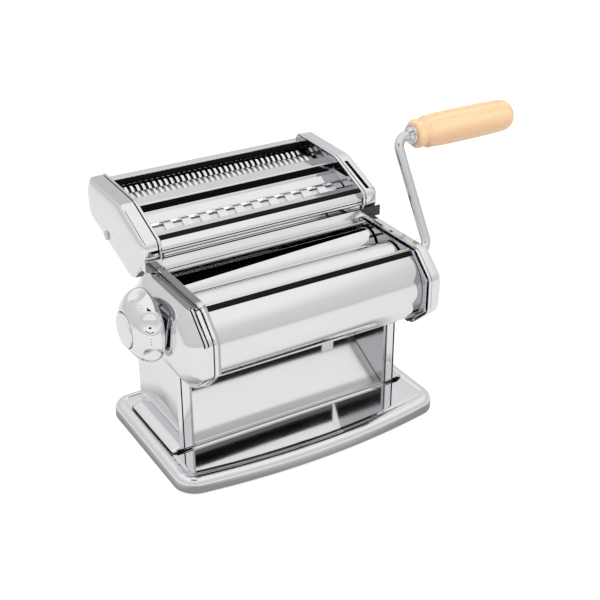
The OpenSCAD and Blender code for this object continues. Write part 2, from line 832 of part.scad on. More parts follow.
// Pin in the knob over the index plate's holes, with its tip just clear of the plate
module index_pin() {
    color(steel) on_side(-1) {
        bar(knob_y, knob_z - index_r, index_hole_r - 0.3, cap_face + index_t + 0.15, knob_x + 4);
    }
}

// ---------------------------------------------------------------- crank and handle

// Quarter of a ring in the XZ plane, round the origin, from angle a on
module bend(a) {
    rotate([90, 0, 0]) rotate([0, 0, a]) rotate_extrude(angle = 90) {
        translate([bend_r, 0]) circle(bar_r);
    }
}

// One round bar: into the roller's socket, up the arm, and out along the handle
module crank_bar() {
    color(steel) translate([0, front_roller_y, roller_z]) rotate([-crank_lean, 0, 0]) {
        difference() {
            bar(0, 0, bar_r, socket_mouth - socket_depth, arm_x - bend_r);
            rotate([crank_lean, 0, 0]) translate([pin_x, bar_r + past, 0]) rotate([90, 0, 0]) {
                cylinder(r = pin_r, h = 2 * (bar_r + past));
            }
        }
        translate([arm_x - bend_r, 0, bend_r]) bend(-90);
        translate([arm_x, 0, bend_r]) cylinder(r = bar_r, h = crank_len - 2 * bend_r);
        translate([arm_x + bend_r, 0, crank_len - bend_r]) bend(90);
        bar(0, crank_len, bar_r, arm_x + bend_r, handle_x + handle_len - 12);
    }
}

module crank_pin() {
    color(steel) translate([pin_x, front_roller_y, roller_z]) rotate([90, 0, 0]) {
        cylinder(r = pin_r, h = 2 * shaft_r - 0.8, center = true);
    }
}

// Flared collar and washer at the inner end of the handle
module crank_collar() {
    color(steel) difference() {
        union() {
            bar(handle_y, handle_z, bar_r + 3.4, handle_x - 2.6, handle_x - free);
            translate([handle_x - 5, handle_y, handle_z]) rotate([0, 90, 0]) {
                cylinder(r1 = bar_r + 0.6, r2 = bar_r + 2.4, h = 2.4);
            }
        }
        bar(handle_y, handle_z, bar_r, handle_x - 8, handle_x + past);
    }
}

// Turned grip: a bead, a groove, a slim ring and a long body with a round end
module handle() {
    r = handle_r;
    bead = r - 1.7;
    neck = r - 2.8;
    color(beech) translate([handle_x, handle_y, handle_z]) rotate([0, 90, 0]) difference() {
        rotate_extrude() {
            difference() {
                union() {
                    polygon([[0, 0], [bead - 1.2, 0], [bead, 1.4], [bead, 5.4], [bead - 0.8, 6.6],
                        [neck, 7.4], [neck, 9.2], [r - 1.2, 10.2], [r - 0.6, 11.4], [r - 0.9, 13],
                        [r, 24], [r, handle_len * 0.62], [r - 0.5, handle_len - 6],
                        [0, handle_len - 6]]);
                    translate([0, handle_len - 6]) intersection() {
                        square([r, 6]);
                        translate([r - 6.5, 0]) circle(6);
                    }
                    translate([0, handle_len - 6]) square([r - 6.5, 6]);
                }
            }
        }
        translate([0, 0, -past]) cylinder(r = bar_r + 1.2, h = handle_len - 10 + past);
    }
}

module handle_bush() {
    color(brass) difference() {
        bar(handle_y, handle_z, bar_r + 1.2, handle_x, handle_x + handle_len - 11);
        bar(handle_y, handle_z, bar_r + run_fit, handle_x - past, handle_x + handle_len);
    }
}

// ---------------------------------------------------------------- cutter head

head_wall_d = 5.2;
module head_cap(side) {
    color(chrome) on_side(side) difference() {
        cap_shape(head_outline, head_plate_out, head_cap_face, head_wall_d, head_bevel, 0);
        cap_shape(head_outline, head_plate_out - past, head_cap_face - sheet,
            head_wall_d + past, head_bevel, sheet);
        if (side > 0) for (spot = [fine_axes[0], wide_axes[1]]) {
            bar(spot[0], spot[1], cut_shaft_r + 1.5, head_cap_face - 4, head_cap_face + past);
        }
        for (spot = head_screw_spots) {
            bar(spot[0], spot[1], screw_r, head_cap_face - 4, head_cap_face + past);
        }
    }
}

head_screw_spots = [[fine_y - 9.2, fine_z - 13.5]];

module head_plate(side) {
    color(steel) on_side(side) difference() {
        slab(head_plate_in, head_plate_out) polygon(inset(head_outline, 1.4));
        for (spot = concat(fine_axes, wide_axes)) {
            bar(spot[0], spot[1], cut_shaft_r + run_fit, head_plate_in - past,
                head_plate_out + past);
        }
        for (spot = head_rod_spots) {
            bar(spot[0], spot[1], head_rod_r, head_plate_in - past, head_plate_out + past);
        }
        for (spot = head_screw_spots) {
            bar(spot[0], spot[1], screw_r, head_plate_in - past, head_plate_out + past);
        }
    }
}

head_cover_x = head_plate_in;

// Rear cover: a narrow flange behind the fine pair, and a wall down the back
module head_rear_cover() {
    y0 = fine_y + 18.7;
    y1 = fine_y + 27;
    z0 = fine_z - 6;
    z1 = fine_z + 13;
    t = cover_t;
    corner = 1.5 * t;
    color(chrome) slab(-head_cover_x, head_cover_x) {
        polygon([[y0, z1 - t], [y0, z1], [y1 - corner, z1], [y1, z1 - corner], [y1, z0],
            [y1 - t, z0], [y1 - t, z1 - corner - t / 2], [y1 - corner - t / 2, z1 - t]]);
    }
}

// Middle cover: the flat plate between the two pairs, with a lower shelf in front
module head_middle_cover() {
    t = cover_t;
    // Top, from its rear lip to the step, then the shelf down to the wide pair
    rear = [fine_y - 13.8, fine_z + 1];
    step = [wide_y + 26.1, wide_z + 13.8];
    shelf = [wide_y + 22.9, wide_z + 13];
    edge = [wide_y + 17.4, wide_z + 9.8];
    top = fine_z + 11;
    color(chrome) slab(-head_cover_x, head_cover_x) {
        polygon([[rear[0], top], [step[0], top], step, shelf, edge,
            [edge[0], edge[1] - t], [shelf[0] + t * 0.3, shelf[1] - t],
            [step[0] + t, step[1] - 0.7 * t], [step[0] + t, top - t],
            [rear[0] - t, top - t], [rear[0] - t, rear[1]], rear]);
    }
}

// Front cover: a rolled lip, the bulging front and the plate under the head
module head_front_cover() {
    t = cover_t;
    front = wide_y - 12.6;
    top = wide_z + 10.4;
    // From the lip over the front and down the plate to its folded lower edge
    outer = [[wide_y + 1.8, top], [wide_y - 4.3, top], [wide_y - 9.1, top - 2],
        [front + 0.6, wide_z + 5.2], [front, wide_z + 2], [front, wide_z - 2.6],
        [wide_y + 10, wide_z - 23.4], [wide_y + 12.8, wide_z - 22.6]];
    inner = [[wide_y + 12.8, wide_z - 22.6 + t], [wide_y + 10.2, wide_z - 23.4 + 1.25 * t],
        [front + t, wide_z - 2.3], [front + t, wide_z + 2], [front + 0.6 + t, wide_z + 4.9],
        [wide_y - 8.6, top - 2.7], [wide_y - 4.1, top - t], [wide_y + 1.8, top - t]];
    color(chrome) slab(-head_cover_x, head_cover_x) polygon(concat(outer, inner));
}

comb_strip = 1.8;
// A comb: a strip whose teeth reach into the grooves of one cutting roller
module comb(axis, pitch, dir, shift, drop) {
    thick = 1;
    tip = sqrt(pow(groove_r + free, 2) - drop * drop) + 0.05;
    root = sqrt(cut_r * cut_r - drop * drop) + free;
    reach = root + comb_strip;
    tooth_w = pitch / 2 - 2 * ring_gap - 2 * free;
    count = floor(cut_len / pitch) - 1;
    y_bar = dir > 0 ? axis[0] + root : axis[0] - reach;
    y_tooth = dir > 0 ? axis[0] + tip : axis[0] - root - eps;
    translate([-head_cover_x, y_bar, axis[1] - drop - thick]) {
        cube([2 * head_cover_x, reach - root, thick]);
    }
    for (i = [-floor(count / 2):floor(count / 2)]) {
        translate([i * pitch + shift - tooth_w / 2, y_tooth, axis[1] - drop - thick]) {
            cube([tooth_w, root - tip + eps, thick]);
        }
    }
}

module fine_combs() {
    color(steel) {
        comb(fine_axes[0], fine_pitch, -1, fine_pitch / 2, 5);
        comb(fine_axes[1], fine_pitch, 1, 0, 5);
    }
}

module wide_combs() {
    color(steel) {
        comb(wide_axes[0], wide_pitch, -1, wide_pitch / 2, 2);
        comb(wide_axes[1], wide_pitch, 1, 0, 2);
    }
}

module head_rods() {
    color(steel) for (spot = head_rod_spots) {
        bar(spot[0], spot[1], head_rod_r, -head_plate_out - 2, head_plate_out + 2);
        bar(spot[0], spot[1], head_rod_r + 0.8, -head_plate_in, head_plate_in);
    }
}

module head_screws() {
    color(steel) for (side = [-1, 1]) on_side(side) for (spot = head_screw_spots) {
        bar(spot[0], spot[1], screw_r - run_fit, head_plate_in, head_cap_face + eps);
        bar(spot[0], spot[1], screw_r + 1.2, head_cap_face, head_cap_face + 1);
    }
}

// Black shoe: a hook round the rail's head, and a pad on the end cap's rear chamfer
shoe_out = head_cap_face - 1.5;
module shoe(side) {
    y0 = 8.4;
    y1 = cap_rear - cap_cy - 0.2;
    z0 = cap_top + free;
    z_head = cap_top + rail_h;
    top = cap_top + rail_h + 5;
    slip = 0.15;
    color(dark) on_side(side) {
        difference() {
            translate([plate_out, y0, z0]) cube([shoe_out - plate_out, y1 - y0, top - z0]);
            // Groove for the rail: its web below and its wider head above
            translate([plate_out - past, y0 - past, z0 - past]) {
                cube([rail_x + rail_web / 2 + slip - plate_out + past, y1 - y0 + 2 * past, rail_h]);
            }
            translate([plate_out - past, y0 - past, z_head - rail_head_t - slip]) {
                cube([rail_x + rail_head / 2 + slip - plate_out + past, y1 - y0 + 2 * past,
                    rail_head_t + 2 * slip]);
            }
            slab(plate_out - past, shoe_out + past) polygon(head_outline);
        }
    }
}

// A cutting roller: rings and grooves, shaft ends and a socket where the crank can go
module cutting_roller(axis, pitch, first, socket) {
    ring_w = pitch / 2 - ring_gap;
    count = floor((cut_len - pitch) / pitch / 2);
    end_x = socket ? head_cap_face - 1 : cut_gear_in + cut_gear_w + 0.6;
    color(chrome) difference() {
        union() {
            bar(axis[0], axis[1], groove_r, -cut_len / 2, cut_len / 2);
            for (i = [-count:count]) {
                x = i * pitch + first;
                bar(axis[0], axis[1], cut_r, x - ring_w / 2, x + ring_w / 2);
            }
            bar(axis[0], axis[1], cut_shaft_r, -head_plate_out - 2, end_x);
        }
        if (socket) bar(axis[0], axis[1], cut_socket_r, end_x - cut_socket_len, end_x + past);
    }
}

module fine_roller_a() { cutting_roller(fine_axes[0], fine_pitch, 0, true); }
module fine_roller_b() { cutting_roller(fine_axes[1], fine_pitch, fine_pitch / 2, false); }
module wide_roller_a() { cutting_roller(wide_axes[0], wide_pitch, 0, false); }
module wide_roller_b() { cutting_roller(wide_axes[1], wide_pitch, wide_pitch / 2, true); }

// Small gears that turn each pair together
module cut_gear(axis, first, turn) {
    pitch_r = cut_gap / 2;
    color(steel) difference() {
        translate([0, axis[0], axis[1]]) rotate([turn, 0, 0]) {
            slab(cut_gear_in, cut_gear_in + cut_gear_w) {
                polygon(wheel(cut_gear_teeth, pitch_r - 1.1, pitch_r + 0.5, 5.4, first));
            }
        }
        bar(axis[0], axis[1], cut_shaft_r, cut_gear_in - past, cut_gear_in + cut_gear_w + past);
    }
}

fine_tilt = atan2(fine_axes[1][1] - fine_axes[0][1], fine_axes[1][0] - fine_axes[0][0]);
module fine_gears_a() { cut_gear(fine_axes[0], 0, fine_tilt); }
module fine_gears_b() { cut_gear(fine_axes[1], 180 + 180 / cut_gear_teeth, fine_tilt); }
module wide_gears_a() { cut_gear(wide_axes[0], 0, 0); }
module wide_gears_b() { cut_gear(wide_axes[1], 180 + 180 / cut_gear_teeth, 0); }

base_plate();
rubber_feet();
base_screws();
side_plate(-1);  // left_side_plate
side_plate(1);  // right_side_plate
leg_cover(-1);  // left_leg_cover
leg_cover(1);  // right_leg_cover
end_cap(-1);  // left_end_cap
end_cap(1);  // right_end_cap
cap_screws();
rail(-1);  // left_rail
rail(1);  // right_rail
front_cover();
rear_cover();
front_scraper();
rear_scraper();
chute();
tie_rods();
frame_nuts();
roller_bushes();
index_plate();
front_roller();
front_gear();
left_cradle_plate();
right_cradle_plate();
cradle_bar();
rear_roller();
rear_gear();
spindle();
snail_cam();
knob();
knob_disc();
knob_spring();
index_pin();
crank_bar();
crank_pin();
crank_collar();
handle();
handle_bush();
head_cap(-1);  // left_head_cap
head_cap(1);  // right_head_cap
head_plate(-1);  // left_head_plate
head_plate(1);  // right_head_plate
head_rear_cover();
head_middle_cover();
head_front_cover();
fine_combs();
wide_combs();
head_rods();
head_screws();
shoe(-1);  // left_shoe
shoe(1);  // right_shoe
fine_roller_a();
fine_roller_b();
wide_roller_a();
wide_roller_b();
fine_gears_a();
fine_gears_b();
wide_gears_a();
wide_gears_b();
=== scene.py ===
import math

import bmesh
import bpy
from mathutils import Matrix, Vector


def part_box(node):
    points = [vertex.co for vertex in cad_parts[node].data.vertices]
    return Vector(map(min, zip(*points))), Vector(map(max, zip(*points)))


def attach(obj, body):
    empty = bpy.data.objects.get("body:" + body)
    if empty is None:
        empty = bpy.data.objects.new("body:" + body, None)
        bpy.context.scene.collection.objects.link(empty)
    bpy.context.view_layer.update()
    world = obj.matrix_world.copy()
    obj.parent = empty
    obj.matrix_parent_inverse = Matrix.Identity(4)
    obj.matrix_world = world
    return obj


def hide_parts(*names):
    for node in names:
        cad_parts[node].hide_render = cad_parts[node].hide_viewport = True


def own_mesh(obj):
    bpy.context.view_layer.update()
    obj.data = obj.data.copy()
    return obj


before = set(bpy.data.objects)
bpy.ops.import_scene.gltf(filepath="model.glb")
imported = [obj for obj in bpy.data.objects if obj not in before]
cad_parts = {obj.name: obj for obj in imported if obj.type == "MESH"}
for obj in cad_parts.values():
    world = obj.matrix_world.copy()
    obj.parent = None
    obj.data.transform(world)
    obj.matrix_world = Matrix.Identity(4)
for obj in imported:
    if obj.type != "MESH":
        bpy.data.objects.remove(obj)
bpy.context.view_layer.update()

mm = 0.001


# ---------------------------------------------------------------- camera
# A long lens from the front left, a little above the machine. Its place is in millimetres, and
# its angles are in degrees: how far it looks down, and how far it turns from the Y axis.

camera_place = (-338.0, -589.3, 453.2)
camera_down = 28.02
camera_turn = -31.21
camera_lens = 67.88

bpy.ops.object.select_all(action="DESELECT")
bpy.ops.object.camera_add(location=tuple(v * mm for v in camera_place),
                          rotation=(math.radians(90 - camera_down), 0, math.radians(camera_turn)))
camera = bpy.context.object
camera.data.sensor_width = 36
camera.data.lens = camera_lens
camera.data.clip_start = 0.01
bpy.context.scene.camera = camera
bpy.context.scene.view_settings.view_transform = "Standard"


# ---------------------------------------------------------------- shader nodes

def grey(value):
    return (value, value, value)


class Wire:
    """A shader socket that Python's operators work on."""

    def __init__(self, finish, socket):
        self.finish = finish
        self.socket = socket

    def math(self, kind, a, b):
        return self.finish.node("ShaderNodeMath", {"operation": kind}, {0: a, 1: b})

    def __add__(self, other):
        return self.math("ADD", self, other)

    def __radd__(self, other):
        return self.math("ADD", other, self)

    def __sub__(self, other):
        return self.math("SUBTRACT", self, other)

    def __rsub__(self, other):
        return self.math("SUBTRACT", other, self)

    def __mul__(self, other):
        return self.math("MULTIPLY", self, other)

    def __rmul__(self, other):
        return self.math("MULTIPLY", other, self)

    def __gt__(self, other):
        return self.math("GREATER_THAN", self, other)


class Finish:
    """A material, or the world, that is wired up node by node."""

    def __init__(self, name, owner=None):
        self.material = owner or bpy.data.materials.new(name)
        self.material.use_nodes = True
        self.tree = self.material.node_tree
        self.tree.nodes.clear()

    def node(self, kind, settings=None, sockets=None, out=0):
        """One node: its settings or a ramp's stops, then the values or wires of its sockets."""
        made = self.tree.nodes.new(kind)
        for key, value in (settings or {}).items():
            if key == "stops":
                ramp = made.color_ramp.elements
                while len(ramp) < len(value):
                    ramp.new(0.5)
                for stop, (place, colour) in zip(ramp, value):
                    stop.position = place
                    stop.color = (*colour, 1)
            else:
                setattr(made, key, value)
        for key, value in (sockets or {}).items():
            if isinstance(value, Wire):
                self.tree.links.new(value.socket, made.inputs[key])
            elif isinstance(value, tuple) and len(value) == 3 and made.inputs[key].type == "RGBA":
                made.inputs[key].default_value = (*value, 1)
            else:
                made.inputs[key].default_value = value
        return Wire(self, made.outputs[out])

    def ramp(self, amount, *stops):
        return self.node("ShaderNodeValToRGB", {"stops": stops}, {"Fac": amount})

    def vector(self, kind, *values, out=0):
        return self.node("ShaderNodeVectorMath", {"operation": kind}, dict(enumerate(values)), out)

    def rays(self, *kinds):
        """One wire for each kind of ray. It is 1 where a ray of that kind looks."""
        return [self.node("ShaderNodeLightPath", out="Is %s Ray" % kind) for kind in kinds]

    def spot(self):
        """Object coordinates in metres."""
        return self.node("ShaderNodeTexCoord", out="Object")

    def place(self, scale=(1, 1, 1)):
        """Object coordinates, stretched by scale."""
        return self.node("ShaderNodeMapping", None, {"Vector": self.spot(), "Scale": scale})

    def noise(self, scale, detail=3.0, stretch=(1, 1, 1), rough=0.5):
        return self.node("ShaderNodeTexNoise", None, {"Vector": self.place(stretch), "Scale": scale,
                                                      "Detail": detail, "Roughness": rough})

    def tint(self, amount, low, high, blend="MIX"):
        return self.node("ShaderNodeMix", {"data_type": "RGBA", "blend_type": blend},
                         {0: amount, 6: low, 7: high}, out=2)

    def bump(self, height, distance, strength=1.0, under=None):
        sockets = {"Height": height, "Distance": distance, "Strength": strength}
        if under is not None:
            sockets["Normal"] = under
        return self.node("ShaderNodeBump", None, sockets)

    def blend(self, amount, low, high):
        """A mix of two shaders."""
        return self.node("ShaderNodeMixShader", None, {0: amount, 1: low, 2: high})

    def skin(self, **sockets):
        """Ends the material in one Principled shader. Names are its sockets, with _ for spaces."""
        named = {key.replace("_", " "): value for key, value in sockets.items()}
        self.end(self.node("ShaderNodeBsdfPrincipled", None, named))
        return self.material

    def end(self, shader, kind="ShaderNodeOutputMaterial"):
        output = self.tree.nodes.new(kind)
        self.tree.links.new(shader.socket, output.inputs["Surface"])


# ---------------------------------------------------------------- studio
# A white tent: pale floor, white surroundings, cards that draw dark and pale bands in the
# plating, and soft lamps above. Reflections see a tent that is duller towards the ground.

bpy.context.scene.world = bpy.data.worlds.new("tent")
tent = Finish("tent", bpy.context.scene.world)
seen, mirrored, through = tent.rays("Camera", "Glossy", "Transmission")
up = tent.node("ShaderNodeSeparateXYZ", None,
               {0: tent.node("ShaderNodeTexCoord", out="Generated")}, out="Z")
sky = tent.ramp(up * 0.5 + 0.5, (0.0, (0.60, 0.60, 0.61)), (0.50, (0.66, 0.66, 0.67)),
                (0.74, (0.74, 0.74, 0.75)), (0.90, (0.98, 0.98, 0.98)))
tent_white = tent.node("ShaderNodeBackground", None, {"Color": grey(1.0), "Strength": 1.0})
tent_sheen = tent.node("ShaderNodeBackground", None, {"Color": sky, "Strength": 1.0})
tent_fill = tent.node("ShaderNodeBackground", None, {"Color": grey(1.0), "Strength": 0.80})
tent_shown = tent.blend(mirrored, tent_white, tent_sheen)
tent.end(tent.blend(seen + mirrored + through, tent_fill, tent_shown), "ShaderNodeOutputWorld")

# The floor is pale paper to the light that bounces off it, and nearly white with soft shadows to
# the camera. In reflections it carries a painted shadow, darker towards the foot of the base,
# over floor_reach metres.
floor_size = 6
floor_reach = 1 / 36.0
foot_low, foot_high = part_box("base_plate")
foot_middle = (foot_low + foot_high) / 2
foot_half = (foot_high - foot_low) / 2
floor_finish = Finish("pale_floor")
seen, mirrored, through = floor_finish.rays("Camera", "Glossy", "Transmission")
paper = floor_finish.node("ShaderNodeBsdfDiffuse", None, {"Color": grey(0.80)})
shadowed = floor_finish.node("ShaderNodeBsdfDiffuse", None, {"Color": grey(0.42)})
glow = floor_finish.node("ShaderNodeEmission", None, {"Color": grey(1.0), "Strength": 0.68})
lit = floor_finish.node("ShaderNodeAddShader", None, {0: shadowed, 1: glow})
off = floor_finish.vector("SUBTRACT", floor_finish.spot(), tuple(foot_middle))
off = floor_finish.vector("ABSOLUTE", off)
off = floor_finish.vector("SUBTRACT", off, (foot_half.x, foot_half.y, 1))
off = floor_finish.vector("MAXIMUM", off, (0, 0, 0))
away = floor_finish.vector("LENGTH", off, out="Value")
# Painted shadow: the reflected floor falls from white to a grey of 0.36 at the base's outline
painted_foot_shadow = floor_finish.ramp(away * (1 / floor_reach), (0.0, grey(0.36)), (0.35, grey(0.66)),
                            (1.0, grey(1.0)))
sheen = floor_finish.node("ShaderNodeEmission", None, {"Color": painted_foot_shadow, "Strength": 0.52})
dimmed = floor_finish.node("ShaderNodeBsdfDiffuse", None,
                           {"Color": floor_finish.tint(painted_foot_shadow, grey(0.0), grey(0.26))})
reflected = floor_finish.node("ShaderNodeAddShader", None, {0: dimmed, 1: sheen})
shown = floor_finish.blend(mirrored, lit, reflected)
floor_finish.end(floor_finish.blend(seen + mirrored + through, paper, shown))
bpy.ops.mesh.primitive_plane_add(size=floor_size, location=(0, 0, 0))
floor = bpy.context.object
floor.name = "floor"
floor.data.materials.append(floor_finish.material)


def one_sided(name, kind, sockets):
    """A card's finish: its front shows one shader, and its back lets light through."""
    finish = Finish(name)
    front = finish.node(kind, None, sockets)
    clear = finish.node("ShaderNodeBsdfTransparent")
    behind = finish.node("ShaderNodeNewGeometry", out="Backfacing")
    finish.end(finish.blend(behind, front, clear))
    return finish


def glow_card(name, strength):
    return one_sided(name, "ShaderNodeEmission", {"Color": grey(1.0), "Strength": strength})


black_card = one_sided("black_card", "ShaderNodeBsdfDiffuse", {"Color": grey(0.004)})
white_card = glow_card("white_card", 0.86)
soft_card = glow_card("soft_card", 0.60)
pale_card = glow_card("pale_card", 0.46)
grey_card = glow_card("grey_card", 0.30)
dim_card = glow_card("dim_card", 0.13)


def hang(made, name, finish):
    """Names a card, and leaves it to reflections alone."""
    made.name = name
    made.data.materials.append(finish.material)
    made.visible_camera = False
    made.visible_diffuse = False
    made.visible_shadow = False


# A card hangs high up on the front left, in metres, and faces the knob's end cap
far_card = Vector((-0.52, -0.50, 1.22))
far_card_faces = Vector((-0.08, -0.02, 0.12))
far_card_turn = (far_card_faces - far_card).to_track_quat("Z", "Y").to_euler()
bpy.ops.mesh.primitive_plane_add(size=1, location=far_card, rotation=far_card_turn)
card = bpy.context.object
card.scale = (0.50, 0.34, 1)
hang(card, "card_over_left", black_card)


def low_card(name, finish, ends, front, rear, far_front=None):
    """A card close to the machine, in millimetres: its ends along X, then its front and rear edge
    in Y and Z. far_front is where the front edge lies at the second end, if it lies askew. Ends
    that run left to right turn its front up, or to the front if it stands."""
    bpy.ops.object.select_all(action="DESELECT")
    bpy.ops.mesh.primitive_plane_add(size=1, location=(0, 0, 0))
    made = bpy.context.object
    corners = [(ends[0], *front), (ends[1], *(far_front or front)), (ends[0], *rear), (ends[1], *rear)]
    for vertex, corner in zip(made.data.vertices, corners):
        vertex.co = Vector(corner) * mm
    hang(made, name, finish)


# Ends of the cards that lie over the machine and show their front up or down, and of the cards
# that stand behind it
turned_up = (-75, 75)
turned_down = (75, -75)
upright = (-76, 88)
behind_y = 62
low_card("card_over_shelf", black_card, turned_up, (34, 153.9), (49.6, 153.9))
low_card("card_under_nip", black_card, turned_up, (-40, 98.5), (18, 98.5))
low_card("card_over_roller", black_card, turned_down, (1, 129), (10, 131.5), (-7, 126.8))
low_card("card_over_right_facet", black_card, (90, 86.5), (15, 158), (45, 170.5))
low_card("card_over_left_facet", black_card, (-89.6, -92), (13, 158), (45, 171.3))
low_card("card_behind_gap", black_card, upright, (behind_y, 84.5), (behind_y, 97))
low_card("card_over_chute_top", black_card, turned_down, (14.5, 33.2), (41.5, 47.8))
low_card("card_over_left_cap", grey_card, (-75, -96), (-40, 138), (26, 138))
low_card("card_over_chute", white_card, turned_down, (-13, 20.4), (14.5, 35.2))
low_card("card_behind_low", dim_card, upright, (behind_y, 8), (behind_y, 84.5))
low_card("card_behind_high", white_card, upright, (behind_y, 97), (behind_y, 112))
low_card("card_over_chute_foot", pale_card, turned_down, (-18.6, 17.3), (-13, 20.4))
low_card("card_on_rear_cover", white_card, turned_up, (4.5, 131.3), (14.5, 131.3))
low_card("card_on_rear_slope", white_card, turned_up, (14.5, 131.3), (31, 114.7))
low_card("card_over_head_cap", soft_card, (-70, -98), (55, 176), (125, 176))

# Each lamp's place and size are in metres, and its power is in watts
lamps_face = Vector((0, 0, 0.1))
for name, spot, size, watts in (("lamp_over", (-0.3, -0.3, 1.5), 1.2, 16),
                                ("lamp_left", (-1.4, -0.7, 0.9), 0.9, 7),
                                ("lamp_right", (1.3, -0.9, 1.0), 0.9, 5)):
    turn = (Vector(spot) - lamps_face).to_track_quat("Z", "Y").to_euler()
    bpy.ops.object.light_add(type="AREA", location=spot, rotation=turn)
    lamp = bpy.context.object
    lamp.name = name
    lamp.data.size = size
    lamp.data.energy = watts
    lamp.visible_glossy = False


# ---------------------------------------------------------------- finishes

def plated(name, colour=(0.86, 0.865, 0.875), rough=0.045, wave=0.0003, smudge=0.05):
    """Mirror-bright plated sheet: faint polishing marks, smudges and a slight waviness."""
    finish = Finish(name)
    haze = finish.noise(38, 4)
    marks = finish.noise(900, 2, (0.08, 1, 1))
    ripple = finish.noise(11, 1.5)
    shade = finish.tint(haze, tuple(0.93 * c for c in colour), colour)
    return finish.skin(Base_Color=shade, Metallic=1.0, Roughness=rough + smudge * haze * haze,
                       Normal=finish.bump(ripple, wave, 0.35, finish.bump(marks, 0.000004, 0.3)))


def bright_steel(name, colour, rough, grain, stretch):
    """Plain ground steel with fine lines along one way and faint darker stains."""
    finish = Finish(name)
    lines = finish.noise(grain, 3, stretch)
    stain = finish.noise(30, 4)
    shade = finish.tint(stain, tuple(0.82 * c for c in colour), colour)
    return finish.skin(Base_Color=shade, Metallic=1.0, Roughness=rough + 0.10 * lines,
                       Normal=finish.bump(lines, 0.00001, 0.35))


def rubbery(name, colour, rough, grain, depth, gleam=0.5):
    """Rubber or black plastic with a fine grit and a little dust."""
    finish = Finish(name)
    grit = finish.noise(grain, 3)
    dust = finish.noise(60, 4)
    shade = finish.tint(dust, colour, tuple(1.7 * c for c in colour))
    return finish.skin(Base_Color=shade, Metallic=0.0, Roughness=rough + 0.12 * dust,
                       Specular_IOR_Level=gleam, Normal=finish.bump(grit, depth, 0.5))


def turned_brass():
    """Plain brass with the fine rings of a lathe."""
    finish = Finish("turned_brass")
    lines = finish.noise(1500, 3, (1, 0.1, 0.1))
    stain = finish.noise(90, 4)
    shade = finish.tint(stain, (0.50, 0.36, 0.14), (0.66, 0.50, 0.24))
    return finish.skin(Base_Color=shade, Metallic=1.0, Roughness=0.22 + 0.12 * lines,
                       Normal=finish.bump(lines, 0.00001, 0.3))


def beech():
    """Pale close-grained wood along X, with short darker flecks and a thin coat of lacquer."""
    finish = Finish("turned_beech")
    grain = finish.noise(260, 4, (0.06, 1, 1), 0.6)
    flecks = finish.noise(1500, 1, (0.12, 1, 1))
    rings = finish.node("ShaderNodeTexWave", {"wave_type": "BANDS", "bands_direction": "Y"},
                        {"Vector": finish.place((0.05, 1, 0.8)), "Scale": 60.0, "Distortion": 5.0,
                         "Detail": 2.0, "Detail Scale": 1.4})
    tone = finish.tint(rings * 0.35 + grain * 0.5, (0.65, 0.40, 0.215), (0.81, 0.565, 0.365))
    speck = finish.ramp(flecks, (0.60, grey(0.0)), (0.72, grey(1.0)))
    tone = finish.tint(0.55, tone, finish.tint(speck, grey(1.0), (0.74, 0.60, 0.46)), "MULTIPLY")
    return finish.skin(Base_Color=tone, Metallic=0.0, Roughness=0.42 + 0.12 * grain, Coat_Weight=0.15,
                       Coat_Roughness=0.25, Normal=finish.bump(grain, 0.00006, 0.35))


def ring_finish(name, y, z, ring_r, groove):
    """Plated rings over unpolished grooves of painted shade, which start at a small depth below the rings'
    tops.
    """
    skin_depth = 0.25 * mm
    finish = Finish(name)
    off = finish.vector("SUBTRACT", finish.spot(), (0, y, z))
    flat = finish.vector("MULTIPLY", off, (0, 1, 1))
    reach = finish.vector("LENGTH", flat, out="Value")
    top = reach > ring_r - skin_depth
    haze = finish.noise(60, 3)
    polished = finish.tint(haze, (0.79, 0.795, 0.805), (0.85, 0.855, 0.865))
    # Painted shade: below the rings' tops the colour drops to the grooves' grey
    shade = finish.tint(top, grey(groove), polished)
    return finish.skin(Base_Color=shade, Metallic=1.0, Roughness=0.22 - 0.17 * top,
                       Normal=finish.bump(haze, 0.00002, 0.3))


plate_finish = plated("bright_plate")
roller_finish = plated("roller_plate", (0.85, 0.855, 0.865), 0.035, 0.0003, 0.04)
chute_finish = plated("satin_chute", (0.90, 0.905, 0.91), 0.30, 0.0001, 0.04)
under_finish = plated("satin_under_plate", (0.88, 0.885, 0.89), 0.36, 0.0001, 0.04)
steel_finish = bright_steel("ground_steel", (0.66, 0.665, 0.68), 0.16, 1400, (0.05, 1, 1))
side_finish = bright_steel("side_plate_steel", (0.52, 0.525, 0.54), 0.07, 900, (1, 1, 0.04))
black_steel = bright_steel("blackened_steel", (0.10, 0.10, 0.105), 0.30, 700, (1, 1, 0.3))
crank_finish = bright_steel("crank_plate", (0.80, 0.805, 0.82), 0.06, 700, (1, 1, 1))
rubber_finish = rubbery("foot_rubber_skin", (0.018, 0.018, 0.019), 0.62, 2600, 0.00004)
shoe_finish = rubbery("shoe_plastic_skin", (0.022, 0.022, 0.024), 0.42, 1800, 0.00003)
# Near-black for the strips of painted shade, and for the knob's setting dots
dark_finish = rubbery("black_dots_and_painted_shade", grey(0.004), 0.60, 1500, 0.00002, 0.08)
brass_finish = turned_brass()
wood_finish = beech()


# ---------------------------------------------------------------- sheet and turned work

def start_plane(size_x, size_y, middle, turn=(0, 0, 0)):
    """A plane at its size and place, in edit mode, all selected."""
    bpy.ops.object.select_all(action="DESELECT")
    bpy.ops.mesh.primitive_plane_add(size=1, location=middle, rotation=turn)
    made = bpy.context.object
    made.scale = (size_x, size_y, 1)
    bpy.ops.object.transform_apply(location=True, rotation=True, scale=True)
    bpy.ops.object.mode_set(mode="EDIT")
    bpy.ops.mesh.select_all(action="SELECT")
    return made


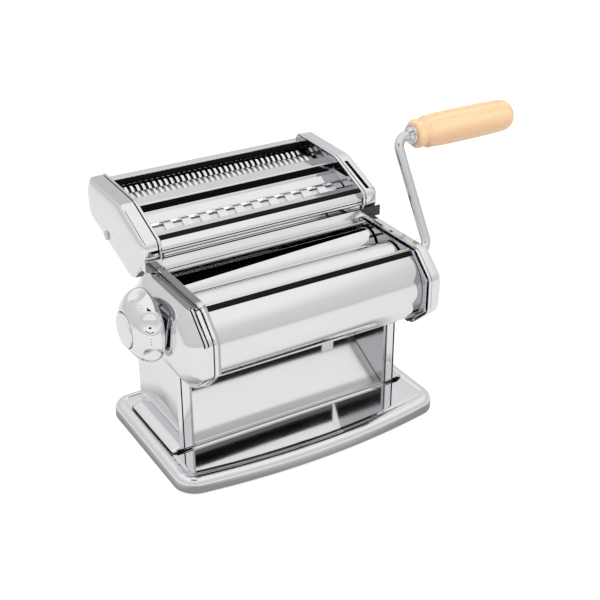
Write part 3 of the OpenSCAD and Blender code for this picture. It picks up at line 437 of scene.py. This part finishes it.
def pick(piece, rule, kind="VERT"):
    """Selects the vertices, edges or faces of the piece whose middle fits the rule."""
    bpy.ops.mesh.select_mode(type=kind)
    bpy.ops.mesh.select_all(action="DESELECT")
    mesh = bmesh.from_edit_mesh(piece.data)
    parts = {"VERT": mesh.verts, "EDGE": mesh.edges, "FACE": mesh.faces}[kind]
    for part in parts:
        if kind == "VERT":
            middle = part.co
        elif kind == "EDGE":
            middle = (part.verts[0].co + part.verts[1].co) / 2
        else:
            middle = part.calc_center_bounds()
        if rule(middle):
            part.select_set(True)
    bmesh.update_edit_mesh(piece.data)


def push(offset):
    bpy.ops.mesh.extrude_region_move(TRANSFORM_OT_translate={"value": offset})


def push_edge(offset):
    bpy.ops.mesh.extrude_edges_move(TRANSFORM_OT_translate={"value": offset})


def shift(offset):
    bpy.ops.transform.translate(value=offset)


def inset(inwards, up):
    bpy.ops.mesh.inset(thickness=inwards, depth=up)


def cut_away(point, outward):
    """Cuts the piece along a plane, and drops what lies outwards of it."""
    bpy.ops.mesh.select_all(action="SELECT")
    bpy.ops.mesh.bisect(plane_co=point, plane_no=outward, clear_outer=True)


def drop_faces_at(piece, x):
    """Deletes the faces that lie across X, x millimetres from the middle."""
    pick(piece, lambda p: abs(abs(p.x) - x * mm) < 1e-6, "FACE")
    bpy.ops.mesh.delete(type="FACE")


def face_outwards(piece):
    """Turns a closed body's faces outwards, and leaves its selection as it is."""
    mesh = bmesh.from_edit_mesh(piece.data)
    bmesh.ops.recalc_face_normals(mesh, faces=mesh.faces)
    bmesh.update_edit_mesh(piece.data)


def soften(angle):
    """Leaves edit mode, and smooths the shading of bends below an angle in degrees."""
    bpy.ops.object.mode_set(mode="OBJECT")
    bpy.ops.object.shade_smooth_by_angle(angle=math.radians(angle))


def close_body(angle):
    """Ends a closed body: joins what coincides, turns its faces outwards and softens its shading."""
    bpy.ops.mesh.select_all(action="SELECT")
    bpy.ops.mesh.remove_doubles(threshold=0.000002)
    bpy.ops.mesh.normals_make_consistent(inside=False)
    soften(angle)


def wall(piece, thickness, edge):
    """Gives sheet its wall, inwards from its outer side, and eases its cut edges."""
    solid = piece.modifiers.new("wall", "SOLIDIFY")
    solid.thickness = thickness * mm
    solid.offset = -1
    bpy.ops.object.modifier_apply(modifier="wall")
    if edge:
        bevel = piece.modifiers.new("ease", "BEVEL")
        bevel.width = edge * mm
        bevel.segments = 2
        bevel.limit_method = "ANGLE"
        bevel.angle_limit = math.radians(50)
        bpy.ops.object.modifier_apply(modifier="ease")
        soften(32)


def close_sheet(piece, thickness, edge=0.0, angle=40):
    """Ends a folded sheet: softens its shading and gives it its wall."""
    soften(angle)
    wall(piece, thickness, edge)


def fit(piece, name, body, slot, finish, *nodes):
    """Names a finished piece, gives it its material and its body, and hides the nodes it stands for."""
    piece.name = name
    piece.data.name = name
    piece.data.materials.clear()
    piece.data.materials.append(finish)
    if nodes:
        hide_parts(*nodes)
    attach(piece, body)


def fit_plate(piece, name, body, *nodes):
    fit(piece, name, body, "chrome_plated_sheet", plate_finish, *nodes)


# Gives a piece the near-black finish of the painted shade strips and the setting dots
def fit_dark(piece, name, body):
    fit(piece, name, body, "shoe_plastic", dark_finish)


def dress(finish, *nodes):
    """Gives carried-over nodes their material."""
    for node in nodes:
        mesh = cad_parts[node].data
        mesh.materials.clear()
        mesh.materials.append(finish)


def arc(middle, radius, start, end, steps):
    """Points round a middle, from one angle to another, in degrees."""
    angles = [math.radians(start + (end - start) * i / steps) for i in range(steps + 1)]
    return [(middle[0] + radius * math.cos(a), middle[1] + radius * math.sin(a)) for a in angles]


def rounded(points, radius, steps=4):
    """A line of points whose corners are rounded. radius is one value, or one for each corner."""
    # A point just outside each bend keeps the flats flat where the shading is smoothed
    lead = 0.12
    line = [Vector(p) for p in points]
    result = [tuple(line[0])]
    for i in range(1, len(line) - 1):
        bend = radius[i - 1] if isinstance(radius, (list, tuple)) else radius
        back = (line[i - 1] - line[i]).normalized()
        ahead = (line[i + 1] - line[i]).normalized()
        angle = back.angle(ahead)
        if angle > math.radians(179):
            result.append(tuple(line[i]))
            continue
        cut = bend / math.tan(angle / 2)
        centre = line[i] + (back + ahead).normalized() * bend / math.sin(angle / 2)
        p0 = line[i] + back * cut - centre
        p1 = line[i] + ahead * cut - centre
        sweep = p0.angle(p1)
        result.append(tuple(line[i] + back * (cut + lead)))
        for k in range(steps + 1):
            t = k / steps
            spot = (p0 * math.sin((1 - t) * sweep) + p1 * math.sin(t * sweep)) / math.sin(sweep)
            result.append(tuple(centre + spot))
        result.append(tuple(line[i] + ahead * (cut + lead)))
    result.append(tuple(line[-1]))
    return result


def folded(points, span, out):
    """Sheet folded along a line of points: a strip is extruded from point to point. Edit mode."""
    points = [Vector(p) * mm for p in points]
    span = Vector(span) * mm
    ahead = points[1] - points[0]
    across = span.normalized()
    along = ahead.normalized()
    turn = Matrix([across, along, across.cross(along)]).transposed().to_euler()
    middle = (points[0] + points[1]) / 2
    made = start_plane(span.length, ahead.length, middle, turn)
    tip = points[1]
    pick(made, lambda p: (p - tip).length < 1e-6, "EDGE")
    for here, there in zip(points[1:], points[2:]):
        push_edge(there - here)
    mesh = bmesh.from_edit_mesh(made.data)
    bmesh.ops.recalc_face_normals(mesh, faces=mesh.faces)
    mesh.faces.ensure_lookup_table()
    first = min(mesh.faces, key=lambda f: (f.calc_center_median() - middle).length)
    if first.normal.dot(Vector(out)) < 0:
        bmesh.ops.reverse_faces(mesh, faces=mesh.faces)
    bmesh.update_edit_mesh(made.data)
    bpy.ops.mesh.select_all(action="SELECT")
    return made


def cross_sheet(path, half_width, out, thickness=0.75, edge=0.1):
    """Sheet that runs from side to side, folded along a path in Y and Z."""
    made = folded([(0, y, z) for y, z in path], (2 * half_width, 0, 0), out)
    close_sheet(made, thickness, edge)
    return made


def pressed_cap(outline, side, stations, corner):
    """A convex outline is cut from a plane, its corners are rounded, and it is drawn out along X.
    Each station is a distance along X and how far the outline has drawn in there."""
    ys = [p[0] for p in outline]
    zs = [p[1] for p in outline]
    mid_y = (min(ys) + max(ys)) / 2
    mid_z = (min(zs) + max(zs)) / 2
    wide = max(ys) - min(ys)
    tall = max(zs) - min(zs)
    middle = (0, mid_y * mm, mid_z * mm)
    x0, first_in = stations[0]
    made = start_plane(tall * mm, wide * mm, (side * x0 * mm, mid_y * mm, mid_z * mm),
                       (0, math.pi / 2, 0))
    for (ya, za), (yb, zb) in zip(outline, outline[1:] + outline[:1]):
        edge = Vector((0, yb - ya, zb - za)).normalized()
        outward = Vector((0, edge.z, -edge.y))
        if outward.dot(Vector((0, ya - mid_y, za - mid_z))) < 0:
            outward = -outward
        cut_away((0, ya * mm, za * mm), outward)
    bpy.ops.mesh.select_all(action="SELECT")
    bpy.ops.mesh.dissolve_limited(angle_limit=0.01)
    bpy.ops.mesh.select_mode(type="VERT")
    bpy.ops.mesh.select_all(action="SELECT")
    bpy.ops.mesh.bevel(offset=corner * mm, segments=5, affect="VERTICES")
    bpy.ops.mesh.select_all(action="SELECT")

    def draw_in(now, drawn):
        """Scales the outline until it lies this far inside the first one."""
        wanted = (1 - 2 * drawn / wide, 1 - 2 * drawn / tall)
        bpy.ops.transform.resize(value=(1, wanted[0] / now[0], wanted[1] / now[1]),
                                 center_override=middle)
        return wanted

    now = draw_in((1, 1), first_in)
    at = x0
    for x, drawn in stations[1:]:
        push((side * (x - at) * mm, 0, 0))
        now = draw_in(now, drawn)
        at = x
    drop_faces_at(made, x0)
    return made


def close_shell(piece, thickness):
    """Ends an open pressed shell: turns its faces outwards and gives it its wall."""
    mesh = bmesh.from_edit_mesh(piece.data)
    bmesh.ops.remove_doubles(mesh, verts=mesh.verts, dist=1e-6)
    bmesh.ops.recalc_face_normals(mesh, faces=mesh.faces)
    far = max(mesh.faces, key=lambda f: abs(f.calc_center_median().x))
    if far.normal.x * far.calc_center_median().x < 0:
        bmesh.ops.reverse_faces(mesh, faces=mesh.faces)
    bmesh.update_edit_mesh(piece.data)
    close_sheet(piece, thickness, angle=26)


def groove_shade_ring(outline, side, ends, drawn, corner, name, body):
    """A thin black band of painted shade in the bottom of a groove round a pressed cap, between its ends
    along X.
    """
    ring = pressed_cap(outline, side, [(x, drawn) for x in ends], corner)
    drop_faces_at(ring, ends[1])
    close_shell(ring, 0.15)
    fit_dark(ring, name, body)


def turned(profile, middle, along=(1, 0, 0), sides=64):
    """A turned piece. A disc is extruded and scaled from station to station: (distance, radius)."""
    unit = Vector(along).normalized()
    middle = Vector(middle) * mm
    turn = unit.to_track_quat("Z", "Y").to_euler()
    at, radius = profile[0]
    bpy.ops.object.select_all(action="DESELECT")
    bpy.ops.mesh.primitive_circle_add(vertices=sides, radius=radius * mm, fill_type="NGON",
                                      location=middle + unit * at * mm, rotation=turn)
    made = bpy.context.object
    bpy.ops.object.transform_apply(location=True, rotation=True, scale=True)
    bpy.ops.object.mode_set(mode="EDIT")
    bpy.ops.mesh.select_all(action="SELECT")
    for there, size in profile[1:]:
        push(unit * (there - at) * mm)
        k = size / radius
        bpy.ops.transform.resize(value=(k, k, k), center_override=middle + unit * there * mm)
        at = there
        radius = size
    return made


# ---------------------------------------------------------------- base
# A tray pressed from bright plated sheet, with a rolled edge, a bowed front and a shallow
# crease round its top. It stands on four rubber feet, and it is open below.

base_low, base_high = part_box("base_plate")
base_bow = 10 * mm
base_corner = 13 * mm
base_rise = 5.6 * mm
base_roll = 5.2 * mm
base_roll_steps = 7
base_wall = 1.1
base_half = base_high.x
base_y0 = base_low.y + base_bow
# How far each step of the crease goes inwards, and up
base_crease = ((1.4, 0.0), (0.5, -0.12), (0.5, -0.30), (0.7, -0.12), (0.7, 0.04), (0.8, 0.14),
               (0.9, 0.05), (0.8, 0.0))

tray = start_plane(base_high.x - base_low.x, base_high.y - base_y0,
                   ((base_low.x + base_high.x) / 2, (base_high.y + base_y0) / 2, base_low.z))
bpy.ops.mesh.select_mode(type="VERT")
bpy.ops.mesh.bevel(offset=base_corner, segments=10, affect="VERTICES")
# The front edge is divided, and bowed out with the corners beside it
pick(tray, lambda p: abs(p.y - base_y0) < 1e-5, "EDGE")
bpy.ops.mesh.subdivide(number_cuts=39)
front = base_y0 + base_corner + 1e-5
mesh = bmesh.from_edit_mesh(tray.data)
for x in sorted({round(v.co.x, 7) for v in mesh.verts if v.co.y < front}):
    pick(tray, lambda p: abs(p.x - x) < 2e-6 and p.y < front)
    shift((0, -base_bow * (1 - (x / base_half) ** 2), 0))
bpy.ops.mesh.select_all(action="SELECT")
push((0, 0, base_rise))
face_outwards(tray)
# Rolled edge: the top face goes up and inwards round a quarter circle
for step in range(base_roll_steps):
    a0 = math.radians(90 * step / base_roll_steps)
    a1 = math.radians(90 * (step + 1) / base_roll_steps)
    inset(base_roll * (math.cos(a0) - math.cos(a1)), base_roll * (math.sin(a1) - math.sin(a0)))
for inwards, up in base_crease:
    inset(inwards * mm, up * mm)
pick(tray, lambda p: abs(p.z - base_low.z) < 1e-5 and math.hypot(p.x, p.y) < 20 * mm, "FACE")
bpy.ops.mesh.delete(type="FACE")
close_body(30)
wall(tray, base_wall, 0.3)
fit_plate(tray, "tray", "frame", "base_plate")
dress(rubber_finish, "rubber_feet")
dress(steel_finish, "base_screws")


# ---------------------------------------------------------------- side frames
# Two steel plates carry everything. Each leg is covered by a pressed channel whose side flares
# out to a flange on the base.

dress(side_finish, "left_side_plate", "right_side_plate")
dress(steel_finish, "frame_nuts", "cap_screws", "index_plate", "left_cradle_plate", "right_cradle_plate",
      "front_gear", "rear_gear", "snail_cam", "spindle", "index_pin")
dress(black_steel, "tie_rods", "cradle_bar")

leg_in = 78.3
leg_out = 86.0
leg_y0 = -22.5
leg_y1 = 45.0
leg_foot = 12.0
leg_top = 90.7
leg_corner = 3.4
# Height over the foot, and how far the side stands out there. The upper rows keep the side's
# shading flat.
leg_flare = ((0.0, 7.0), (1.0, 6.6), (1.9, 5.2), (3.0, 0.0), (4.6, 0.0), (6.6, 0.0), (9.2, 0.0),
             (12.0, 0.0), (15.0, 0.0))
# The channel is cut off behind along a slope that clears the end cap
leg_slope_at = (0, 30.2 * mm, 88.0 * mm)
leg_slope = (0, 0.862, 0.507)


def leg_plan(out, grow, corner):
    """The channel's plan: three sides of a box with round corners, open towards the middle."""
    front = leg_y0 - grow
    rear = leg_y1 + grow
    return rounded([(leg_in, front), (out, front), (out, rear), (leg_in, rear)], corner, 6)


for side, word in ((-1, "left"), (1, "right")):
    first = leg_flare[1][0]
    plan = [(side * x, y, leg_foot + first / 2) for x, y in leg_plan(leg_out, 0, leg_corner)]
    leg = folded(plan, (0, 0, first), (0, -1, 0))
    # The channel is drawn up from the flange, level by level
    pick(leg, lambda p: p.z > (leg_foot + 0.9 * first) * mm, "EDGE")
    levels = [level for level, reach in leg_flare[1:]] + [leg_top - leg_foot]
    for here, there in zip(levels, levels[1:]):
        push_edge((0, 0, (there - here) * mm))
    for level, reach in leg_flare:
        z = (leg_foot + level) * mm
        pick(leg, lambda p: abs(p.z - z) < 0.4 * mm and abs(p.x) > (leg_out - 2.2) * mm)
        shift((side * reach * mm, 0, 0))
    cut_away(leg_slope_at, leg_slope)
    close_sheet(leg, 1.1, 0.2, 32)
    fit_plate(leg, "leg_channel_" + word, "frame", word + "_leg_cover")


# ---------------------------------------------------------------- end caps
# Deep pressed caps with eight sides cover the gears. Each has a narrow proud rim against the
# side plate, a straight wall, a bevel and a softly rounded face.

cap_outline = [(-49.5, 131.3), (-66.7, 115.2), (-66.7, 90.7), (-49.5, 74.6),
               (14.5, 74.6), (31.7, 90.7), (31.7, 115.2), (14.5, 131.3)]
cap_corner = 3.6
cap_groove = (80.65, 81.15)
cap_stations = [(78.25, 0.25), (78.45, 0.05), (78.8, 0.0), (80.1, 0.0), (80.4, 0.1), (80.6, 0.4),
                (cap_groove[0], 1.2), (cap_groove[1], 1.2), (81.2, 0.75), (81.4, 0.6), (81.8, 0.55),
                (86.4, 0.6), (87.0, 0.75), (87.6, 1.2), (88.2, 1.8), (89.2, 2.8), (90.4, 4.0),
                (91.8, 5.5), (93.2, 7.4), (94.4, 9.4), (95.5, 12.0), (96.4, 15.0), (97.0, 18.5),
                (97.4, 22.0), (97.5, 25.0)]
for side, word in ((-1, "left"), (1, "right")):
    cap = pressed_cap(cap_outline, side, cap_stations, cap_corner)
    close_shell(cap, 0.5)
    fit_plate(cap, "end_cap_" + word, "frame", word + "_end_cap")
    groove_shade_ring(cap_outline, side, cap_groove, 0.95, cap_corner, "end_cap_%s_seam" % word, "frame")
dress(plate_finish, "left_rail", "right_rail")

# The knob's cap has a stepped edge along its front chamfer: a bright bead between two black lines of
# painted shade
chamfer_line = rounded([(-47.5, 130.83), (-49.25, 130.83), (-66.22, 114.9), (-66.22, 113.4)], 3.2, 5)
chamfer_bead = rounded([(-46.5, 130.95), (-49.2, 130.95), (-66.35, 114.9), (-66.35, 112.6)], 3.2, 5)


def chamfer_band(path, x0, x1, thickness):
    """A narrow band along the left cap's chamfer, between two distances from the middle."""
    band = folded([(-(x0 + x1) / 2, y, z) for y, z in path], (x1 - x0, 0, 0), (0, -0.5, 1))
    close_sheet(band, thickness)
    return band


fit_dark(chamfer_band(chamfer_line, 83.9, 84.9, 0.3), "end_cap_left_line_1", "frame")
fit_plate(chamfer_band(chamfer_bead, 84.9, 86.4, 0.4), "end_cap_left_bead", "frame")
fit_dark(chamfer_band(chamfer_line, 86.4, 87.3, 0.3), "end_cap_left_line_2", "frame")


# ---------------------------------------------------------------- covers
# The front cover is one sheet rolled to a wide bulge, with a folded lip on top. The rear cover
# starts in a rolled bead over the rear roller. The chute is a plain sloping plate.

cover_half = 75.7
bulge = arc((-35.2, 103.3), 27.4, 262, 121, 40)
lip = [(-46.9, 129.4), (-46.5, 129.9)] + arc((-45.9, 130.35), 0.62, 180, 20, 7) + [(-45.2, 129.3)]
front_path = [(-36.6, 78.6), (-36.9, 77.2)] + bulge + lip
fit_plate(cross_sheet(front_path, cover_half, (0, 1, 0)), "front_guard", "frame", "front_cover")

bead = arc((3.9, 129.9), 1.0, -60, 90, 8)
rear_path = bead + rounded([(4.2, 130.9), (14.1, 130.7), (30.2, 114.2), (30.2, 90.9)], 2.5, 5)[1:]
fit_plate(cross_sheet(rear_path, cover_half, (0, -1, 0.2)), "rear_guard", "frame", "rear_cover")

chute_path = rounded([(-21.4, 12.75), (-18.3, 12.75), (42.2, 45.4)], 1.2, 5)
fit(cross_sheet(chute_path, cover_half, (0, 0, 1)), "chute_plate", "frame", "chrome_plated_sheet",
    chute_finish, "chute")
dress(steel_finish, "front_scraper")
dress(black_steel, "rear_scraper")


# ---------------------------------------------------------------- main rollers
# Two ground and plated steel rollers that turn together. Their shafts run in plain brass bushes.

dress(roller_finish, "front_roller", "rear_roller")
dress(brass_finish, "roller_bushes", "handle_bush")


# ---------------------------------------------------------------- adjuster knob
# A plated knob with six finger scoops and a flat disc in its face. Small dots from one to six
# mark the settings. Distances along its axis are counted from its back.

knob_y = -15.0
knob_z = 109.6
knob_back = -98.9
knob_place = (knob_back, knob_y, knob_z)
knob_face_r = 12.3
knob_round = [(0, 21.5), (0.5, 22.9), (1.4, 23.6), (2.6, 23.95), (4.0, 24.0), (5.5, 23.8), (7.0, 23.35),
              (8.5, 22.6), (10.0, 21.6), (11.5, 20.35), (13.0, 18.85), (14.4, 17.2), (15.6, 15.5),
              (16.6, 13.9), (17.1, 12.95), (17.25, 12.5), (17.2, 12.1), (16.9, 11.9), (16.6, 11.8)]
disc_round = [(16.2, 11.4), (17.9, 11.4), (18.3, 11.3), (18.55, 11.0), (18.65, 10.4), (18.75, 8.0)]
recess_round = [(16.3, 12.1), (16.95, 12.1), (17.0, 11.9), (17.0, 11.0)]

# The scoops are as if cut by balls whose middles stand on a ring outside of the knob
scoop_ring = 27.2
scoop_r = 8.6
scoop_at = 11.0
scoop_soft = 1.1
scoop_turn = 60

knob = turned(knob_round, knob_place, (-1, 0, 0), 144)
close_body(40)
for vertex in knob.data.vertices:
    depth = knob_back - vertex.co.x / mm
    y = vertex.co.y / mm - knob_y
    z = vertex.co.z / mm - knob_z
    reach = math.hypot(y, z)
    if reach < knob_face_r or depth < 0.2:
        continue
    # Each point near a scoop moves in to the scoop's skin, with a soft edge
    aside = (math.degrees(math.atan2(z, y)) + 360) % scoop_turn - scoop_turn / 2
    sideways = scoop_ring * math.sin(math.radians(aside))
    inside = scoop_r ** 2 - sideways ** 2 - (depth - scoop_at) ** 2
    if inside <= 0:
        continue
    skin = scoop_ring * math.cos(math.radians(aside)) - math.sqrt(inside)
    if skin - reach > scoop_soft:
        continue
    blend = 0.5 + 0.5 * max(-1.0, (skin - reach) / scoop_soft)
    new = min(reach, skin + (reach - skin) * blend - scoop_soft * blend * (1 - blend))
    vertex.co.y = (knob_y + y * new / reach) * mm
    vertex.co.z = (knob_z + z * new / reach) * mm
fit_plate(knob, "adjuster_knob", "knob", "knob")

disc = turned(disc_round, knob_place, (-1, 0, 0), 96)
close_body(30)
fit_plate(disc, "knob_face_disc", "knob", "knob_disc")

# A black ring of painted shade in the recess between the knob and its face disc
recess = turned(recess_round, knob_place, (-1, 0, 0), 96)
close_body(30)
fit_dark(recess, "knob_recess_ring", "knob")

# A coil spring inside the knob, between its web and the spindle's flange, which the pull closes up
spring_low, spring_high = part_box("knob_spring")
spring_wire = 0.65 * mm
spring_free = 0.05 * mm
spring_turns = 4
spring_r = (spring_high.y - spring_low.y) / 2 - spring_wire - spring_free
spring_axis = (spring_low + spring_high) / 2
bpy.ops.object.select_all(action="DESELECT")
bpy.ops.mesh.primitive_circle_add(vertices=10, radius=spring_wire,
                                  location=(spring_high.x - spring_wire, spring_axis.y, spring_axis.z))
spring = bpy.context.object
bpy.ops.object.mode_set(mode="EDIT")
bpy.ops.mesh.select_all(action="SELECT")
shift((0, spring_r, 0))
bpy.ops.object.mode_set(mode="OBJECT")
coil = spring.modifiers.new("coil", "SCREW")
coil.axis = "X"
coil.angle = spring_turns * 2 * math.pi
coil.steps = 24 * spring_turns
coil.render_steps = coil.steps
coil.screw_offset = -(spring_high.x - spring_low.x - 2 * spring_wire)
bpy.ops.object.modifier_apply(modifier="coil")
bpy.ops.object.transform_apply(location=True, rotation=True, scale=True)
bpy.ops.object.mode_set(mode="EDIT")
bpy.ops.mesh.select_all(action="SELECT")
bpy.ops.mesh.fill_holes(sides=0)
close_body(50)
fit(spring, "pull_spring", "adjuster", "plain_steel", steel_finish, "knob_spring")
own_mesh(spring)

# One to six dots on the lands between the scoops, each a shallow stud, in rows of three
dot_round = [(-0.9, 0.55), (-0.05, 0.55), (0.04, 0.45), (0.06, 0.2)]
dot_row = 3
dot_spread = 5.2
dot_at = 9.2
dot_row_step = 2.1
dot_r = 22.05
dot_row_drop = 1.15
dots = []
for count in range(1, 7):
    for index in range(count):
        row = index // dot_row
        in_row = min(dot_row, count - dot_row * row)
        across = (index % dot_row - (in_row - 1) / 2) * dot_spread
        turn = math.radians(scoop_turn * count + across)
        reach = dot_r - dot_row_drop * row
        place = (knob_back - dot_at - dot_row_step * row,
                 knob_y + reach * math.cos(turn), knob_z + reach * math.sin(turn))
        dots.append(turned(dot_round, place, (-0.42, 0.91 * math.cos(turn), 0.91 * math.sin(turn)), 14))
        close_body(30)
bpy.ops.object.select_all(action="DESELECT")
for dot in dots:
    dot.select_set(True)
bpy.context.view_layer.objects.active = dots[0]
bpy.ops.object.join()
fit_dark(dots[0], "setting_dots", "knob")


# ---------------------------------------------------------------- crank and handle
# One bent bar of bright steel with a turned beech grip that spins on it.

dress(crank_finish, "crank_bar", "crank_pin", "crank_collar")

handle_low, handle_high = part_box("handle")
grip_place = (handle_low.x / mm, (handle_low.y + handle_high.y) / 2 / mm,
              (handle_low.z + handle_high.z) / 2 / mm)
grip_round = [(0.0, 8.2), (0.4, 9.1), (1.2, 9.9), (2.4, 10.35), (3.6, 10.4), (4.8, 10.2), (5.9, 9.7),
              (6.7, 9.35), (7.3, 9.2), (8.4, 9.2), (9.0, 9.35), (9.6, 9.9), (10.0, 10.6), (10.5, 11.2),
              (11.3, 11.5), (12.2, 11.45), (12.9, 11.3), (13.4, 11.28), (15.0, 11.4), (20.0, 11.75),
              (26.0, 11.95), (34.0, 12.0), (46.0, 12.0), (58.0, 11.95), (68.0, 11.8), (75.0, 11.6),
              (79.0, 11.35), (81.4, 10.9), (83.2, 10.1), (84.5, 9.0), (85.3, 7.6), (85.8, 5.6), (86.0, 3.0)]
grip = turned(grip_round, grip_place, (1, 0, 0), 72)
close_body(50)
fit(grip, "beech_grip", "handle", "handle_beech", wood_finish, "handle")


# ---------------------------------------------------------------- cutter head
# Two pairs of ring rollers between pressed end caps, with folded covers between them.

dress(side_finish, "left_head_plate", "right_head_plate")
dress(steel_finish, "fine_gears_a", "fine_gears_b", "wide_gears_a", "wide_gears_b",
      "head_rods", "head_screws")
dress(black_steel, "fine_combs", "wide_combs")
dress(plate_finish, "left_shoe")
dress(shoe_finish, "right_shoe")

head_outline = [(34.5, 115.0), (9.5, 139.0), (10.5, 150.0), (47.5, 165.4),
                (100.0, 167.0), (105.0, 156.0), (104.0, 142.0), (99.0, 138.0)]
head_corner = 3.4
head_groove = (78.75, 79.35)
head_stations = [(76.8, 0.9), (76.9, 0.4), (77.2, 0.1), (77.6, 0.0), (78.2, 0.0), (78.5, 0.15), (78.7, 0.5),
                 (head_groove[0], 1.4), (head_groove[1], 1.4), (79.4, 0.7), (79.7, 0.4), (86.6, 0.5),
                 (87.3, 0.65), (88.0, 1.0), (88.6, 1.5), (89.2, 2.3), (89.8, 3.5), (90.3, 5.0),
                 (90.7, 6.8), (91.0, 8.8), (91.2, 11.0), (91.35, 13.5), (91.4, 16.0)]
for side, word in ((-1, "left"), (1, "right")):
    cap = pressed_cap(head_outline, side, head_stations, head_corner)
    close_shell(cap, 0.5)
    fit_plate(cap, "head_end_" + word, "cutter_head", word + "_head_cap")
    groove_shade_ring(head_outline, side, head_groove, 1.15, head_corner, "head_end_%s_seam" % word, "cutter_head")

# The second value is the grey of the grooves: painted shade over their bare steel, deepest on fine_roller_b
for roller, groove in (("fine_roller_a", 0.55), ("fine_roller_b", 0.04),
                       ("wide_roller_a", 0.80), ("wide_roller_b", 0.74)):
    low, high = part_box(roller)
    dress(ring_finish(roller + "_plate", (low.y + high.y) / 2, (low.z + high.z) / 2,
                      (high.y - low.y) / 2, groove), roller)

head_half = 76.5
front_fold = rounded([(25.2, 149.2), (25.4, 150.2), (19.3, 150.2), (14.5, 148.2), (11.6, 145.0),
                      (11.0, 141.8), (11.0, 137.4), (11.9, 136.5)], [0.4, 3.0, 3.0, 2.5, 3.0, 0.5])
under_fold = rounded([(11.2, 137.0), (33.6, 116.4), (36.2, 117.2)], 0.8)
middle_fold = rounded([(62.4, 150.2), (62.4, 160.0), (49.7, 160.0), (49.7, 153.6), (46.5, 152.8),
                       (41.0, 149.4)], [0.9, 0.8, 0.5, 1.0])
rear_fold = rounded([(94.9, 161.2), (95.1, 162.0), (103.2, 162.0), (103.2, 143.0)], [0.3, 1.6])
fit_plate(cross_sheet(front_fold, head_half, (0, 1, 0)), "head_front_fold", "cutter_head",
          "head_front_cover")
fit(cross_sheet(under_fold, head_half, (0, -0.6, -0.7), 0.7), "head_under_plate", "cutter_head",
    "chrome_plated_sheet", under_finish, "head_front_cover")
fit_plate(cross_sheet(middle_fold, head_half, (0, 1, 0)), "head_middle_fold", "cutter_head",
          "head_middle_cover")
fit_plate(cross_sheet(rear_fold, head_half, (0, -1, 0.2)), "head_rear_fold", "cutter_head",
          "head_rear_cover")


# ---------------------------------------------------------------- painted shade lines
# Narrow black strips of painted shade lie along the joints: round each foot, down each leg's front
# corner, in the tray's crease, and along the covers' folded edges.

# How far each foot line stands out from the leg's side, its height over the foot, and how far it
# is proud of the leg's front and rear
foot_lines = (("foot_painted_shade", 7.25, 0.25, 0.2), ("foot_line", 5.6, 1.35, 0.15))
foot_line_tall = 0.5
# Distance from the middle, and height, of the lower and upper end of the painted shade line on a leg's
# front
leg_shade_line_low = (82.6, 14.0)
leg_shade_line_high = (85.4, 86.0)
leg_shade_line_wide = 0.8
leg_shade_line_y = leg_y0 - 0.08
for side, word in ((-1, "left"), (1, "right")):
    for name, reach, level, grow in foot_lines:
        plan = [(side * x, y, leg_foot + level) for x, y in leg_plan(leg_out + reach, grow, 3.6)]
        line = folded(plan, (0, 0, foot_line_tall), (0, -1, 0))
        close_sheet(line, 0.5)
        fit_dark(line, "%s_%s" % (name, word), "frame")
    line = folded([(side * x, leg_shade_line_y, z) for x, z in (leg_shade_line_low, leg_shade_line_high)],
                  (leg_shade_line_wide, 0, 0), (0, -1, 0))
    close_sheet(line, 0.3)
    fit_dark(line, "leg_seam_" + word, "frame")

# The tray's crease gets a black line of painted shade
crease_half = 80
crease_wide = 0.7
crease_top = (base_low.z + base_rise + base_roll) / mm - 0.1
crease_y = base_y0 / mm + 7.0
crease = [(x, crease_y - base_bow / mm * (1 - (x * mm / base_half) ** 2), crease_top)
          for x in range(-crease_half, crease_half + 1, 4)]
line = folded(crease, (0, crease_wide, 0), (0, 0, 1))
close_sheet(line, 0.4)
fit_dark(line, "tray_crease_line", "frame")


def strip(name, body, path, half_width, out):
    fit_dark(cross_sheet(path, half_width, out, 0.5, 0.05), name, body)


guard_strip_half = cover_half - 0.1
head_strip_half = head_half - 0.1
# Height and width of each line of painted shade across the head's front
fold_line_y = 10.9
fold_lines = ((143.1, 0.55), (141.1, 0.55), (139.2, 0.55), (137.9, 0.9))
strip("guard_lip_shade", "frame", [(-49.55, 126.85), (-47.02, 129.62)], guard_strip_half, (0, -1, 0.5))
strip("head_rear_shade", "cutter_head", [(94.7, 161.0), (94.7, 157.0)], head_strip_half, (0, -1, 0))
strip("head_lip_shade", "cutter_head", [(15.2, 148.75), (19.1, 150.32)], head_strip_half, (0, 0, 1))
for index, (level, tall) in enumerate(fold_lines):
    strip("head_fold_line_%d" % (index + 1), "cutter_head",
          [(fold_line_y, level - tall / 2), (fold_line_y, level + tall / 2)], head_strip_half, (0, -1, 0))
